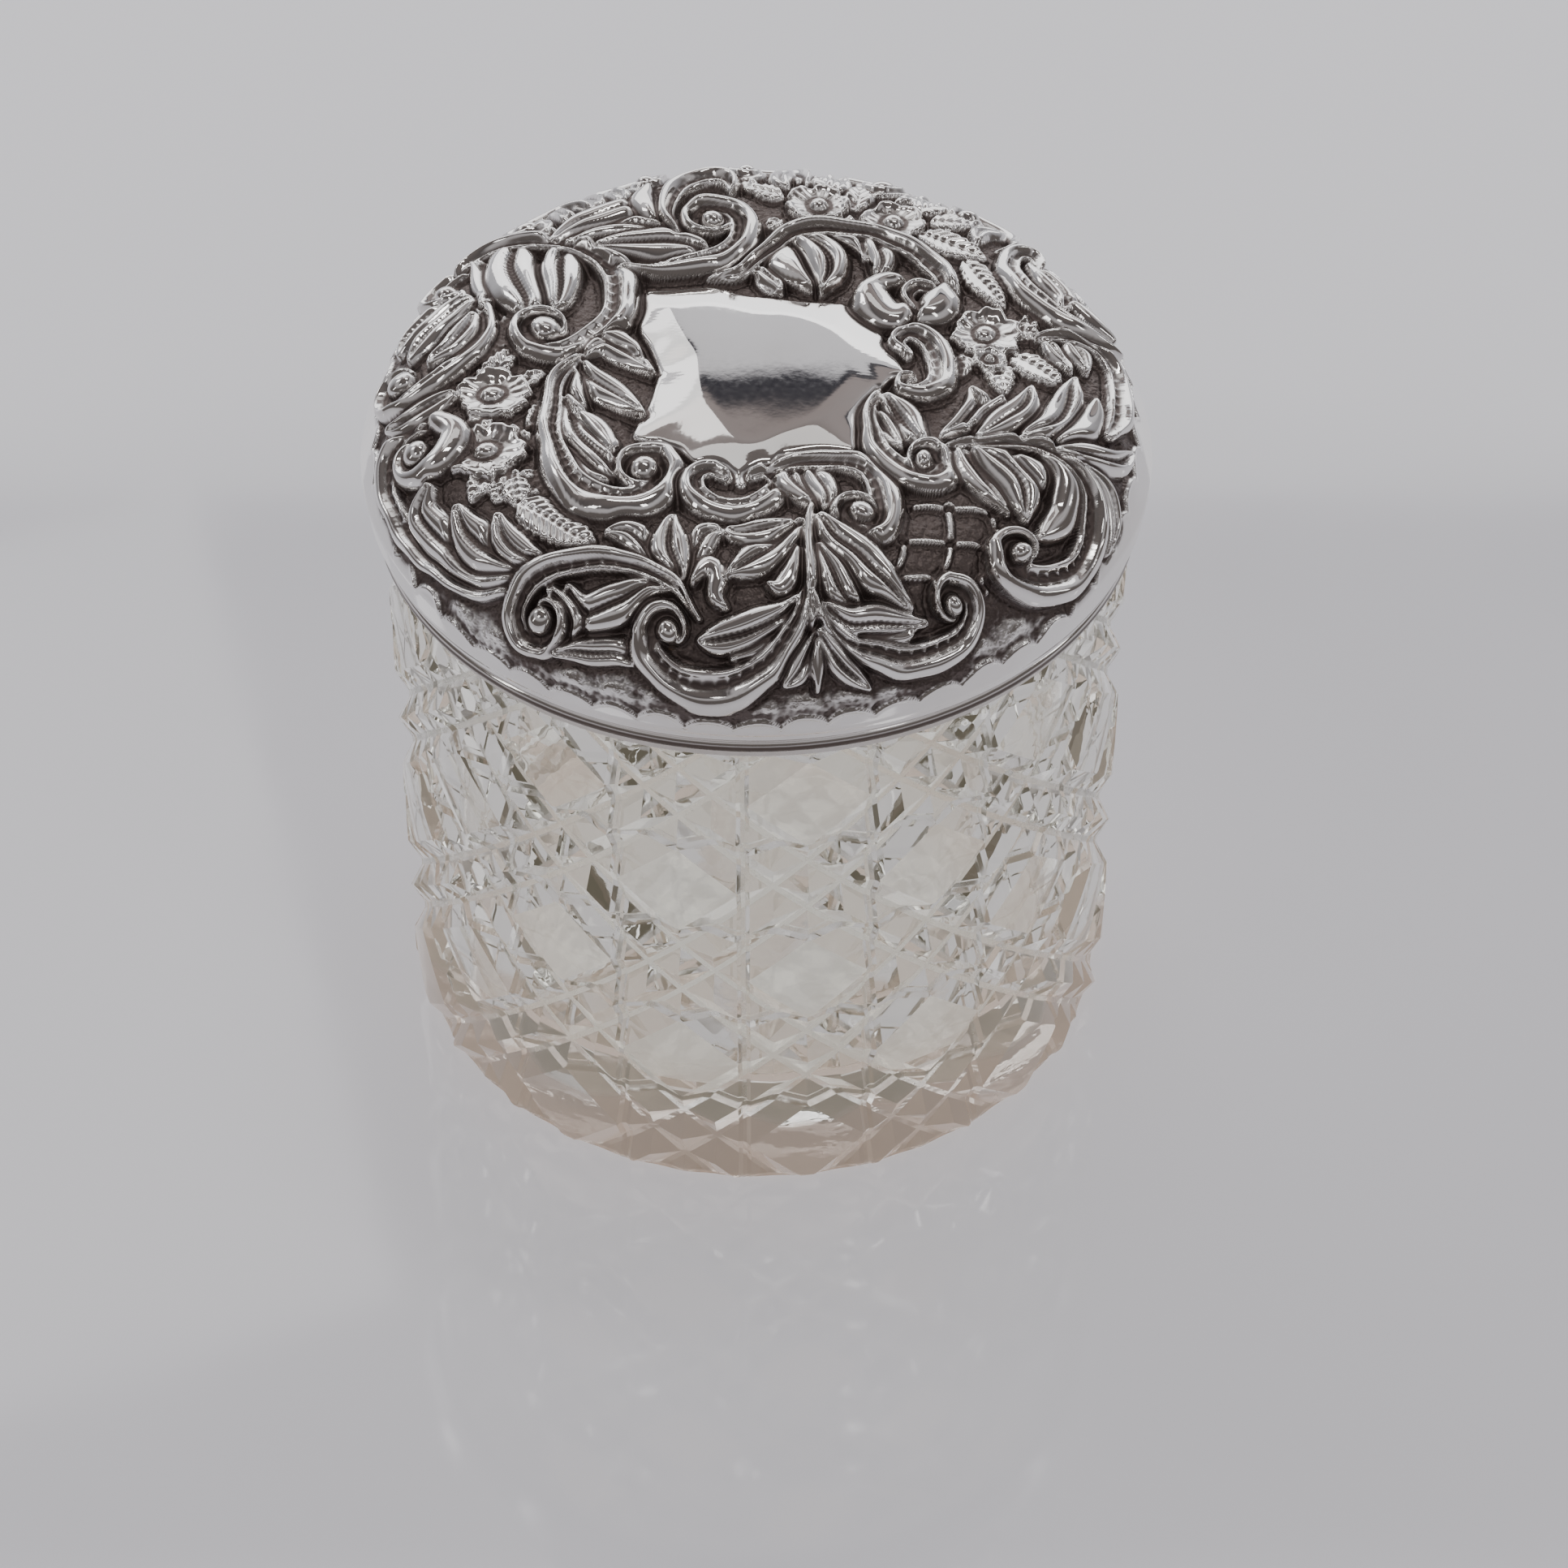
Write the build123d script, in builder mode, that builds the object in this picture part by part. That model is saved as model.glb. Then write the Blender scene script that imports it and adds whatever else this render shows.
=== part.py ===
"""Silver-topped cut-glass powder jar with a pull-off lid.

A drum of lead crystal carries a silver collar that is cemented to its neck. The lid is a
stamped silver cover over a gilt lining, and slides down over the collar's bezel.

Frame: millimetres, +Z up, origin at the middle of the flat base, front towards -Y.
"""
from build123d import *

import math
import os

os.makedirs("parts", exist_ok=True)

# --- Driving dimensions -----------------------------------------------------------------

LID_R = 41.0              # outside of the lid, the widest thing on the jar
CROWN_Z = 83.0            # highest point of the lid
SHEET = 0.6               # gauge of all the sheet silver

GLASS_R = 39.4            # top of the cut glass
GLASS_BASE_R = 39.1       # foot of the cut glass, a shade narrower
ROW_H = 12.7              # pitch of the horizontal mitre cuts
ROWS = 5                  # bands of cutting
COLUMNS = 18              # columns of cutting round the drum
CUT_TURN = -2.06          # the first upright mitre, in degrees from the front
MITRE_DEPTH = 0.9         # depth of the upright and level mitres
MITRE_SLOPE = 1.0         # half width of the cutting wheel's edge per unit of depth
WHEEL_DEPTH = 3.0         # the wheel reaches this far out from the bottom of its cut
FLOOR_Z = 9.5             # thickness of the glass under the powder
BORE_R = 33.0             # inside of the jar and of its mouth
FLOOR_FILLET = 3.0
FOOT_CHAMFER = 0.6        # bevel round the flat underside

SHOULDER_Z = 64.2         # flat top of the drum, outside the neck
SHOULDER_CHAMFER = 0.5
NECK_R = 36.4
NECK_TOP_Z = 71.5
NECK_KEY = 0.5            # depth of the cut that keys the cement
NECK_KEY_H = 2.4
NECK_KEY_UP = 1.2         # height of the key above the shoulder

CEMENT = 0.6              # thickness of cement between neck and collar
CEMENT_UP = 0.7           # its lower edge, and the bezel's, above the shoulder
BED = 0.1                 # film of cement under the collar's skirt
SKIRT_R = 39.5            # outside of the collar's skirt
WIRE_H = 1.7              # height of the collar's bead wire
WIRE_OUT_R = 40.3         # outside of the bead wire
COLLAR_Z = 66.85          # top of the collar's ledge and of the bead wire
BEZEL_TOP_Z = 75.2

FIT = 0.10                # radial running clearance between lid and bezel
SEAT = 0.35               # height of the lid's edge above the collar
RIM_Z = 72.0              # level where the lid is widest
RIM_IN = 0.6              # the lid's edge is drawn in by this much at its foot
CROWN_R = 29.0            # the flat crown meets the round shoulder here
CROWN_DROP = 0.7          # fall of the crown from its middle to that circle
LINER_GAP = 1.0           # room between the bezel's lip and the lining
LINER_RISE = 2.4          # the lining is dished up by this much
LINER_FLAT = 3.5          # width of its flat margin

# --- Derived dimensions -----------------------------------------------------------------

CUT_TOP_Z = ROW_H * ROWS
BEZEL_R = NECK_R + CEMENT                 # inside of the collar's bezel
BEZEL_OUT_R = BEZEL_R + SHEET
SKIRT_Z = SHOULDER_Z + BED                # underside of the skirt
LID_FOOT_Z = COLLAR_Z + SEAT              # lower edge of the lid
SLEEVE_R = BEZEL_OUT_R + FIT              # inside of the lid's friction sleeve
SLEEVE_OUT_R = SLEEVE_R + SHEET
SLEEVE_TOP_Z = BEZEL_TOP_Z + LINER_GAP
CEMENT_Z = SHOULDER_Z + CEMENT_UP
KEY_Z = SHOULDER_Z + NECK_KEY_UP
KEY_TOP_Z = KEY_Z + 2 * NECK_KEY + NECK_KEY_H
COLUMN_DEG = 360 / COLUMNS
WHEEL_HALF = WHEEL_DEPTH * MITRE_SLOPE


def glass_radius(z):
    """Outside radius of the drum at height z."""
    return GLASS_BASE_R + (GLASS_R - GLASS_BASE_R) * z / CUT_TOP_Z


def dish_radius(half_width, rise):
    """Radius of the arc over a dish of this half width and rise."""
    return (half_width**2 + rise**2) / (2 * rise)


# --- Jar ----------------------------------------------------------------------------------

# Drum, shoulder and keyed neck in one turned profile, then the cutting.
with BuildPart() as glass_jar:
    with BuildSketch(Plane.XZ):
        with BuildLine():
            Polyline(
                (0, 0),
                (GLASS_BASE_R - FOOT_CHAMFER, 0),
                (GLASS_BASE_R, FOOT_CHAMFER),
                (GLASS_R, CUT_TOP_Z),
                (GLASS_R, SHOULDER_Z - SHOULDER_CHAMFER),
                (GLASS_R - SHOULDER_CHAMFER, SHOULDER_Z),
                (NECK_R, SHOULDER_Z),
                (NECK_R, KEY_Z),
                (NECK_R - NECK_KEY, KEY_Z + NECK_KEY),
                (NECK_R - NECK_KEY, KEY_TOP_Z - NECK_KEY),
                (NECK_R, KEY_TOP_Z),
                (NECK_R, NECK_TOP_Z),
                (BORE_R, NECK_TOP_Z),
                (BORE_R, FLOOR_Z + FLOOR_FILLET),
            )
            RadiusArc(
                (BORE_R, FLOOR_Z + FLOOR_FILLET),
                (BORE_R - FLOOR_FILLET, FLOOR_Z),
                FLOOR_FILLET,
            )
            Polyline((BORE_R - FLOOR_FILLET, FLOOR_Z), (0, FLOOR_Z), (0, 0))
        make_face()
    revolve(axis=Axis.Z)

    # Level mitres, one between each two rows.
    with BuildSketch(Plane.XZ):
        for row in range(1, ROWS):
            z = row * ROW_H
            r = glass_radius(z) - MITRE_DEPTH
            with BuildLine():
                Polyline(
                    (r, z),
                    (r + WHEEL_DEPTH, z + WHEEL_HALF),
                    (r + WHEEL_DEPTH, z - WHEEL_HALF),
                    close=True,
                )
            make_face()
    revolve(axis=Axis.Z, mode=Mode.SUBTRACT)

    # Upright mitres between the columns, run out at the foot and under the collar.
    lean = math.atan2(GLASS_R - GLASS_BASE_R, CUT_TOP_Z)
    for column in range(COLUMNS):
        turn = CUT_TURN - 90 + column * COLUMN_DEG
        outward = Vector(math.cos(math.radians(turn)), math.sin(math.radians(turn)), 0)
        tip = outward * (GLASS_BASE_R - MITRE_DEPTH)
        up = Vector(0, 0, math.cos(lean)) + outward * math.sin(lean)
        with BuildSketch(Plane(tip, x_dir=outward, z_dir=up)):
            with BuildLine():
                Polyline(
                    (0, 0),
                    (WHEEL_DEPTH, WHEEL_HALF),
                    (WHEEL_DEPTH, -WHEEL_HALF),
                    close=True,
                )
            make_face()
        extrude(amount=CUT_TOP_Z, mode=Mode.SUBTRACT)
glass_jar.part.label = "glass_jar"
export_step(glass_jar.part, "parts/glass_jar.step")

# Ring of plaster that holds the collar, moulded into the neck's key.
with BuildPart() as collar_cement:
    with BuildSketch(Plane.XZ):
        with BuildLine():
            Polyline(
                (NECK_R, CEMENT_Z),
                (NECK_R, KEY_Z),
                (NECK_R - NECK_KEY, KEY_Z + NECK_KEY),
                (NECK_R - NECK_KEY, KEY_TOP_Z - NECK_KEY),
                (NECK_R, KEY_TOP_Z),
                (NECK_R, NECK_TOP_Z),
                (BEZEL_R, NECK_TOP_Z),
                (BEZEL_R, CEMENT_Z),
                close=True,
            )
        make_face()
    revolve(axis=Axis.Z)
collar_cement.part.label = "collar_cement"
export_step(collar_cement.part, "parts/collar_cement.step")

# Silver collar, first its skirt: an outer wall on the shoulder and a ledge for the lid.
with BuildPart() as collar_skirt:
    with BuildSketch(Plane.XZ):
        with BuildLine():
            Polyline(
                (SKIRT_R, SKIRT_Z),
                (SKIRT_R, COLLAR_Z),
                (BEZEL_OUT_R, COLLAR_Z),
                (BEZEL_OUT_R, COLLAR_Z - SHEET),
                (SKIRT_R - SHEET, COLLAR_Z - SHEET),
                (SKIRT_R - SHEET, SKIRT_Z),
                close=True,
            )
        make_face()
    revolve(axis=Axis.Z)
collar_skirt.part.label = "collar_skirt"
export_step(collar_skirt.part, "parts/collar_skirt.step")

# Half-round bead wire, soldered round the top of the skirt.
with BuildPart() as collar_wire:
    with BuildSketch(Plane.XZ):
        with BuildLine():
            ThreePointArc(
                (SKIRT_R, COLLAR_Z - WIRE_H),
                (WIRE_OUT_R, COLLAR_Z - WIRE_H / 2),
                (SKIRT_R, COLLAR_Z),
            )
            Line((SKIRT_R, COLLAR_Z), (SKIRT_R, COLLAR_Z - WIRE_H))
        make_face()
    revolve(axis=Axis.Z)
collar_wire.part.label = "collar_wire"
export_step(collar_wire.part, "parts/collar_wire.step")

# Upstanding bezel that the lid slides over, with a rounded lip.
with BuildPart() as collar_bezel:
    with BuildSketch(Plane.XZ):
        with BuildLine():
            Polyline(
                (BEZEL_R, BEZEL_TOP_Z - SHEET / 2),
                (BEZEL_R, CEMENT_Z),
                (BEZEL_OUT_R, CEMENT_Z),
                (BEZEL_OUT_R, BEZEL_TOP_Z - SHEET / 2),
            )
            ThreePointArc(
                (BEZEL_OUT_R, BEZEL_TOP_Z - SHEET / 2),
                (BEZEL_R + SHEET / 2, BEZEL_TOP_Z),
                (BEZEL_R, BEZEL_TOP_Z - SHEET / 2),
            )
        make_face()
    revolve(axis=Axis.Z)
collar_bezel.part.label = "collar_bezel"
export_step(collar_bezel.part, "parts/collar_bezel.step")

# --- Lid ----------------------------------------------------------------------------------

# Stamped cover: a plain upright border, a round shoulder and a nearly flat crown.
with BuildPart() as lid_cover:
    shoulder = (CROWN_R, RIM_Z)
    crown = dish_radius(CROWN_R, CROWN_DROP)
    out_r, out_h = LID_R - CROWN_R, CROWN_Z - CROWN_DROP - RIM_Z
    with BuildSketch(Plane.XZ):
        with BuildLine():
            Line((LID_R - RIM_IN, LID_FOOT_Z), (LID_R, RIM_Z))
            EllipticalCenterArc(shoulder, out_r, out_h, 0, arc_size=90)
            RadiusArc((CROWN_R, RIM_Z + out_h), (0, CROWN_Z), -crown)
            Line((0, CROWN_Z), (0, CROWN_Z - SHEET))
            RadiusArc((0, CROWN_Z - SHEET), (CROWN_R, RIM_Z + out_h - SHEET), crown)
            EllipticalCenterArc(shoulder, out_r - SHEET, out_h - SHEET, 0, arc_size=90)
            Line((LID_R - SHEET, RIM_Z), (LID_R - RIM_IN - SHEET, LID_FOOT_Z))
            Line((LID_R - RIM_IN - SHEET, LID_FOOT_Z), (LID_R - RIM_IN, LID_FOOT_Z))
        make_face()
    revolve(axis=Axis.Z)
lid_cover.part.label = "lid_cover"
export_step(lid_cover.part, "parts/lid_cover.step")

# Flat ring that closes the gap between cover and sleeve, and seats on the ledge.
with BuildPart() as lid_ring:
    with BuildSketch(Plane.XY.offset(LID_FOOT_Z)):
        Circle(LID_R - RIM_IN - SHEET)
        Circle(SLEEVE_OUT_R, mode=Mode.SUBTRACT)
    extrude(amount=SHEET)
lid_ring.part.label = "lid_ring"
export_step(lid_ring.part, "parts/lid_ring.step")

# Friction sleeve that slides over the collar's bezel.
with BuildPart() as lid_sleeve:
    with BuildSketch(Plane.XY.offset(LID_FOOT_Z)):
        Circle(SLEEVE_OUT_R)
        Circle(SLEEVE_R, mode=Mode.SUBTRACT)
    extrude(amount=SLEEVE_TOP_Z - LID_FOOT_Z)
lid_sleeve.part.label = "lid_sleeve"
export_step(lid_sleeve.part, "parts/lid_sleeve.step")

# Gilt lining that hides the back of the stamping: a flat margin and a dished middle.
with BuildPart() as lid_liner:
    margin_r = SLEEVE_OUT_R - LINER_FLAT
    dish = dish_radius(margin_r, LINER_RISE)
    with BuildSketch(Plane.XZ):
        with BuildLine():
            Line((SLEEVE_OUT_R, SLEEVE_TOP_Z), (margin_r, SLEEVE_TOP_Z))
            RadiusArc((margin_r, SLEEVE_TOP_Z), (0, SLEEVE_TOP_Z + LINER_RISE), -dish)
            Line((0, SLEEVE_TOP_Z + LINER_RISE), (0, SLEEVE_TOP_Z + LINER_RISE + SHEET))
            RadiusArc(
                (0, SLEEVE_TOP_Z + LINER_RISE + SHEET), (margin_r, SLEEVE_TOP_Z + SHEET), dish
            )
            Line((margin_r, SLEEVE_TOP_Z + SHEET), (SLEEVE_OUT_R, SLEEVE_TOP_Z + SHEET))
            Line((SLEEVE_OUT_R, SLEEVE_TOP_Z + SHEET), (SLEEVE_OUT_R, SLEEVE_TOP_Z))
        make_face()
    revolve(axis=Axis.Z)
lid_liner.part.label = "lid_liner"
export_step(lid_liner.part, "parts/lid_liner.step")
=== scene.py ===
"""Looks of the silver-topped cut-glass powder jar: stamped lid, cut crystal, collar, studio."""

import math
import bpy
import numpy as np
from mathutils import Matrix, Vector


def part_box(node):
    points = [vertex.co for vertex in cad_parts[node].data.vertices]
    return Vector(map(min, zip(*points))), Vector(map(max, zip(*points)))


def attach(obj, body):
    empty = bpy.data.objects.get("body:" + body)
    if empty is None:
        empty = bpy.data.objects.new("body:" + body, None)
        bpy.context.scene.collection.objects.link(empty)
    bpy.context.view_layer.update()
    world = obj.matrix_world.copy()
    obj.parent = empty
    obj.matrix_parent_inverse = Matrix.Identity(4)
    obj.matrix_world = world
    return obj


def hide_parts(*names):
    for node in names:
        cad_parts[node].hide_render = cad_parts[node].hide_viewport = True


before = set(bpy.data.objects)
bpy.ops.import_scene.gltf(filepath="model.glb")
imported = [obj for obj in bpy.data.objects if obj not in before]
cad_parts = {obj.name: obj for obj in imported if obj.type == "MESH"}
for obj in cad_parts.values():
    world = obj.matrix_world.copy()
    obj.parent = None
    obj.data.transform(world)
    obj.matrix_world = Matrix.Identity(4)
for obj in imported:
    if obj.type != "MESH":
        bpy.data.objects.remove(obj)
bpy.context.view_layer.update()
scene = bpy.context.scene
MM = 0.001

# --- Camera: a long lens, looking 43.5 degrees down on the front ---------------------------

camera_data = bpy.data.cameras.new("camera")
camera_data.lens = 117.5
camera_data.sensor_width = 36
camera_data.clip_end = 20
camera = bpy.data.objects.new("camera", camera_data)
scene.collection.objects.link(camera)
camera.location = (0.00285, -0.4127, 0.4150)
camera.rotation_euler = (math.radians(90 - 43.53), 0, 0)
scene.camera = camera


# --- Mesh helpers ---------------------------------------------------------------------------

def make_object(name, points, face_sets, smooth_deg=None):
    """Adds a mesh from points (metres) and arrays of faces, each array with one face size."""
    mesh = bpy.data.meshes.new(name)
    sizes = np.concatenate([np.full(len(f), f.shape[1]) for f in face_sets])
    corners = np.concatenate([f.ravel() for f in face_sets])
    mesh.vertices.add(len(points))
    mesh.vertices.foreach_set("co", np.ascontiguousarray(points, np.float32).ravel())
    mesh.loops.add(len(corners))
    mesh.loops.foreach_set("vertex_index", corners.astype(np.int32))
    mesh.polygons.add(len(sizes))
    mesh.polygons.foreach_set("loop_start", np.r_[0, np.cumsum(sizes)[:-1]].astype(np.int32))
    mesh.polygons.foreach_set("use_smooth", np.ones(len(sizes), bool))
    mesh.update(calc_edges=True)
    if smooth_deg:
        mesh.set_sharp_from_angle(angle=math.radians(smooth_deg))
    thing = bpy.data.objects.new(name, mesh)
    scene.collection.objects.link(thing)
    return thing


def add_values(thing, name, values):
    """Stores one number for each vertex."""
    layer = thing.data.attributes.new(name, "FLOAT", "POINT")
    layer.data.foreach_set("value", np.ascontiguousarray(values, np.float32))


# --- Material helpers -----------------------------------------------------------------------

class Shader:
    """A node material that is built up by short calls."""

    def __init__(self, name):
        self.material = bpy.data.materials.new(name)
        self.material.use_nodes = True
        self.tree = self.material.node_tree
        self.tree.nodes.clear()
        self.out = self.tree.nodes.new("ShaderNodeOutputMaterial")

    def node(self, kind, inputs=None, **settings):
        n = self.tree.nodes.new("ShaderNode" + kind)
        for key, value in settings.items():
            setattr(n, key, value)
        for key, value in (inputs or {}).items():
            if isinstance(value, bpy.types.NodeSocket):
                self.tree.links.new(value, n.inputs[key])
            else:
                n.inputs[key].default_value = value
        return n

    def noise(self, scale, detail=3.0):
        inputs = {"Scale": scale, "Detail": detail, "Vector": self.place()}
        return self.node("TexNoise", inputs).outputs["Fac"]

    def place(self):
        return self.node("TexCoord").outputs["Object"]

    def span(self, value, low, high, to_low=0.0, to_high=1.0, smooth=False):
        kind = "SMOOTHSTEP" if smooth else "LINEAR"
        return self.node("MapRange", {"Value": value, "From Min": low, "From Max": high,
                                      "To Min": to_low, "To Max": to_high},
                         interpolation_type=kind).outputs["Result"]

    def math(self, kind, a, b=0.0):
        return self.node("Math", {0: a, 1: b}, operation=kind).outputs[0]

    def mix(self, fac, a, b):
        n = self.node("Mix", data_type="RGBA")
        for socket, value in zip((n.inputs[0], n.inputs[6], n.inputs[7]), (fac, a, b)):
            if isinstance(value, bpy.types.NodeSocket):
                self.tree.links.new(value, socket)
            else:
                socket.default_value = value
        return n.outputs[2]

    def bump(self, height, distance):
        inputs = {"Height": height, "Distance": distance, "Strength": 1.0}
        return self.node("Bump", inputs).outputs["Normal"]

    def attribute(self, name):
        return self.node("Attribute", attribute_name=name).outputs["Fac"]

    def principled(self, inputs):
        return self.node("BsdfPrincipled", inputs)

    def finish(self, shader):
        self.tree.links.new(shader.outputs[0], self.out.inputs["Surface"])
        return self.material


def grey(value, warm=0.0):
    return (value * (1 + warm), value, value * (1 - warm), 1.0)


# Dark brown painted into a silver's colour as shade on its underside.
PAINTED_SHADE_BROWN = (0.10, 0.08, 0.07, 1)
FINEST = 0.00002          # depth, in metres, of scratches and ripples in a polish


def silver(name, tone, rough, warm=0.025, under=None):
    """Polished silver with faint tarnish clouds and fine wiping scratches.

    Below the height under, in metres, its colour is painted dark brown as shade.
    """
    s = Shader(name)
    cloud = s.noise(90.0, 4.0)
    fine = s.noise(900.0, 2.0)
    colour = s.mix(s.span(cloud, 0.35, 0.75), grey(tone, warm), grey(tone * 0.86, warm * 1.8))
    if under:
        # Painted shade: below the given height the colour turns dark brown.
        height = s.node("SeparateXYZ", {0: s.place()}).outputs["Z"]
        painted_shade = s.span(height, under - 0.3 * MM, under, 1.0, 0.0, smooth=True)
        colour = s.mix(painted_shade, colour, PAINTED_SHADE_BROWN)
    roughness = s.span(fine, 0.3, 0.7, rough * 0.75, rough * 1.3)
    normal = s.bump(s.noise(420.0, 2.0), FINEST)
    return s.finish(s.principled({"Base Color": colour, "Metallic": 1.0,
                                  "Roughness": roughness, "Normal": normal}))


# --- Relief: strokes laid over each other on the developed plan of the lid, in mm ------------

PLAN_R = 51.2             # half the map's width: over the lid's edge to the foot, and a margin
PITCH = 0.1               # of the height map
DITCH = 0.45              # how far the sunk line round a form reaches
EDGE_BLEND = 0.16         # width of the step up to a form
REACH = 1.2               # how far round a stroke the map is worked


def smooth(x):
    x = np.clip(x, 0.0, 1.0)
    return x * x * (3 - 2 * x)


def spline(points, per_span=10):
    """Catmull-Rom curve through rows of numbers, ends included."""
    p = np.asarray(points, float)
    p = np.vstack([2 * p[0] - p[1], p, 2 * p[-1] - p[-2]])
    t = np.linspace(0, 1, per_span, endpoint=False)[:, None]
    spans = []
    for a, b, c, d in zip(p[:-3], p[1:-2], p[2:-1], p[3:]):
        spans.append(0.5 * (2 * b + (c - a) * t + (2 * a - 5 * b + 4 * c - d) * t**2
                            + (3 * b - a - 3 * c + d) * t**3))
    return np.vstack(spans + [p[-2:-1]])


def blur(field, sigma):
    """Gaussian blur by FFT; sigma in mm."""
    fy, fx = np.fft.fftfreq(field.shape[0], PITCH), np.fft.fftfreq(field.shape[1], PITCH)
    g = np.exp(-2 * (np.pi * sigma) ** 2 * (fy[:, None] ** 2 + fx[None, :] ** 2))
    return np.real(np.fft.ifft2(np.fft.fft2(field) * g))


class Plan:
    """Height of the stamping over the lid's developed plan, in mm."""

    def __init__(self):
        n = int(2 * PLAN_R / PITCH)
        self.axis = (np.arange(n) + 0.5) * PITCH - PLAN_R
        self.h = np.zeros((n, n))                # [row y, column x]
        self.matt = np.zeros_like(self.h)        # grain of the punched ground
        self.plain = np.zeros_like(self.h)       # 1 on the polished shield

    def window(self, x0, x1, y0, y1):
        a, b = np.searchsorted(self.axis, [x0, x1])
        c, d = np.searchsorted(self.axis, [y0, y1])
        X, Y = np.meshgrid(self.axis[a:b], self.axis[c:d])
        return (slice(c, d), slice(a, b)), X, Y

    def lay(self, where, inside, height, moat=0.45):
        """Lays a form over what is there; inside is the distance in from its outline."""
        h = self.h[where]
        ditch = np.exp(-np.square(np.clip(-inside, 0, None) / DITCH)) * moat
        h -= ditch * (inside <= 0) * np.clip((h + 0.6) / 0.9, 0, 1)
        m = smooth(inside / EDGE_BLEND + 0.5)
        self.h[where] = h * (1 - m) + height * m

    def stroke(self, points, high, shape, side=1, moat=0.45, eye=None, turns=0.9):
        """Sweeps a cross-section along a curve of (x, y, half width)."""
        path = spline(points)
        if eye is not None:
            path = np.vstack([path, curl(path, eye, turns)])
        pad = path[:, 2].max() + REACH
        where, X, Y = self.window(path[:, 0].min() - pad, path[:, 0].max() + pad,
                                  path[:, 1].min() - pad, path[:, 1].max() + pad)
        best = np.full(X.shape, 1e9)
        s = np.zeros(X.shape)
        w = np.ones(X.shape)
        run = np.zeros(X.shape)
        seg = np.hypot(*np.diff(path[:, :2], axis=0).T)
        start = np.r_[0, np.cumsum(seg)]
        for i, length in enumerate(seg):
            if length < 1e-6:
                continue
            ax, ay, aw = path[i]
            bx, by, bw = path[i + 1]
            reach = max(aw, bw) + REACH
            columns = np.searchsorted(X[0], [min(ax, bx) - reach, max(ax, bx) + reach])
            rows = np.searchsorted(Y[:, 0], [min(ay, by) - reach, max(ay, by) + reach])
            near = (slice(*rows), slice(*columns))
            x, y = X[near] - ax, Y[near] - ay
            ux, uy = (bx - ax) / length, (by - ay) / length
            t = np.clip((x * ux + y * uy) / length, 0, 1)
            px, py = x - t * (bx - ax), y - t * (by - ay)
            wide = np.maximum(aw + (bw - aw) * t, 0.05)
            d = np.hypot(px, py)
            score = d / wide
            closer = score < best[near]
            sign = np.where(ux * py - uy * px >= 0, 1.0, -1.0) * side
            best[near] = np.where(closer, score, best[near])
            s[near] = np.where(closer, sign * d / wide, s[near])
            w[near] = np.where(closer, wide, w[near])
            run[near] = np.where(closer, start[i] + t * length, run[near])
        level = high * smooth(w / 0.7 + 0.15)            # a thin end sinks
        height = level * shape(np.clip(s, -1, 1), run, w)
        self.lay(where, (1 - best) * w, height, moat)
        if eye is not None:
            reach = np.hypot(points[-1][0] - eye[0], points[-1][1] - eye[1])
            self.dome(eye[0], eye[1], max(0.6, 0.52 * reach), high * 1.08, moat=0.7)

    def dome(self, x, y, r, high, moat=0.3):
        """A round boss."""
        where, X, Y = self.window(x - r - 1, x + r + 1, y - r - 1, y + r + 1)
        q = np.hypot(X - x, Y - y) / r
        self.lay(where, (1 - q) * r, high * (0.35 + 0.65 * np.sqrt(np.clip(1 - q * q, 0, 1))), moat)


CURL_END = 0.72           # share of a volute's turns that is left open
CURL_IN = 0.48            # how much of its radius it loses on the way
CURL_THIN = 0.75          # and how much of its width


def curl(path, eye, turns):
    """Spiral that carries on from the end of a path round an eye."""
    x, y, w = path[-1]
    dx, dy = x - eye[0], y - eye[1]
    r, a = np.hypot(dx, dy), np.arctan2(dy, dx)
    tx, ty = path[-1, :2] - path[-2, :2]
    sense = 1.0 if dx * ty - dy * tx > 0 else -1.0
    turns *= CURL_END
    t = np.linspace(0, 1, int(34 * turns) + 2)[1:]
    radius = r * (1 - CURL_IN * t)
    angle = a + sense * 2 * np.pi * turns * t
    width = np.maximum(w * (1 - CURL_THIN * t), 0.2)
    return np.column_stack([eye[0] + radius * np.cos(angle), eye[1] + radius * np.sin(angle), width])


def section(*knots):
    """Cross-section from knots: place across, from -1 to 1, and height."""
    s, h = np.array(knots, float).T
    return lambda v: np.interp(v, s, h)


SCROLL_CUT = section((-1, .0), (-.95, .30), (-.86, .52), (-.72, .74), (-.55, .90), (-.38, .98),
                     (-.24, 1.0), (-.10, .95), (.02, .80), (.12, .58), (.24, .40), (.38, .35),
                     (.52, .40), (.63, .54), (.74, .68), (.85, .64), (.94, .38), (1, .0))
LOBE_CUT = section((-1, .0), (-.95, .30), (-.84, .58), (-.68, .82), (-.50, .96), (-.36, 1.0),
                   (-.20, .90), (-.08, .70), (0, .60), (.10, .64), (.24, .78), (.40, .86),
                   (.56, .84), (.72, .70), (.86, .46), (.95, .24), (1, .0))
PLAIN_CUT = section((-1, .0), (-.95, .32), (-.84, .56), (-.68, .76), (-.45, .92), (-.2, .99),
                    (0, 1), (.3, .95), (.6, .78), (.84, .50), (.95, .28), (1, .0))
RIB_PITCH = 1.5           # ribs in the hollow of a scroll
DOT_PITCH = 0.62          # punched dots along a leaf


def scroll(s, run, w):
    """C-scroll: a broad outer slope, a bright bead, and a ribbed hollow inside."""
    ribs = np.maximum(0, np.cos(2 * np.pi * run / RIB_PITCH)) ** 4
    hollow = np.exp(-((s - .42) / .18) ** 2) * smooth((w - .9) / .6)
    return SCROLL_CUT(s) + 0.16 * ribs * hollow


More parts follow.
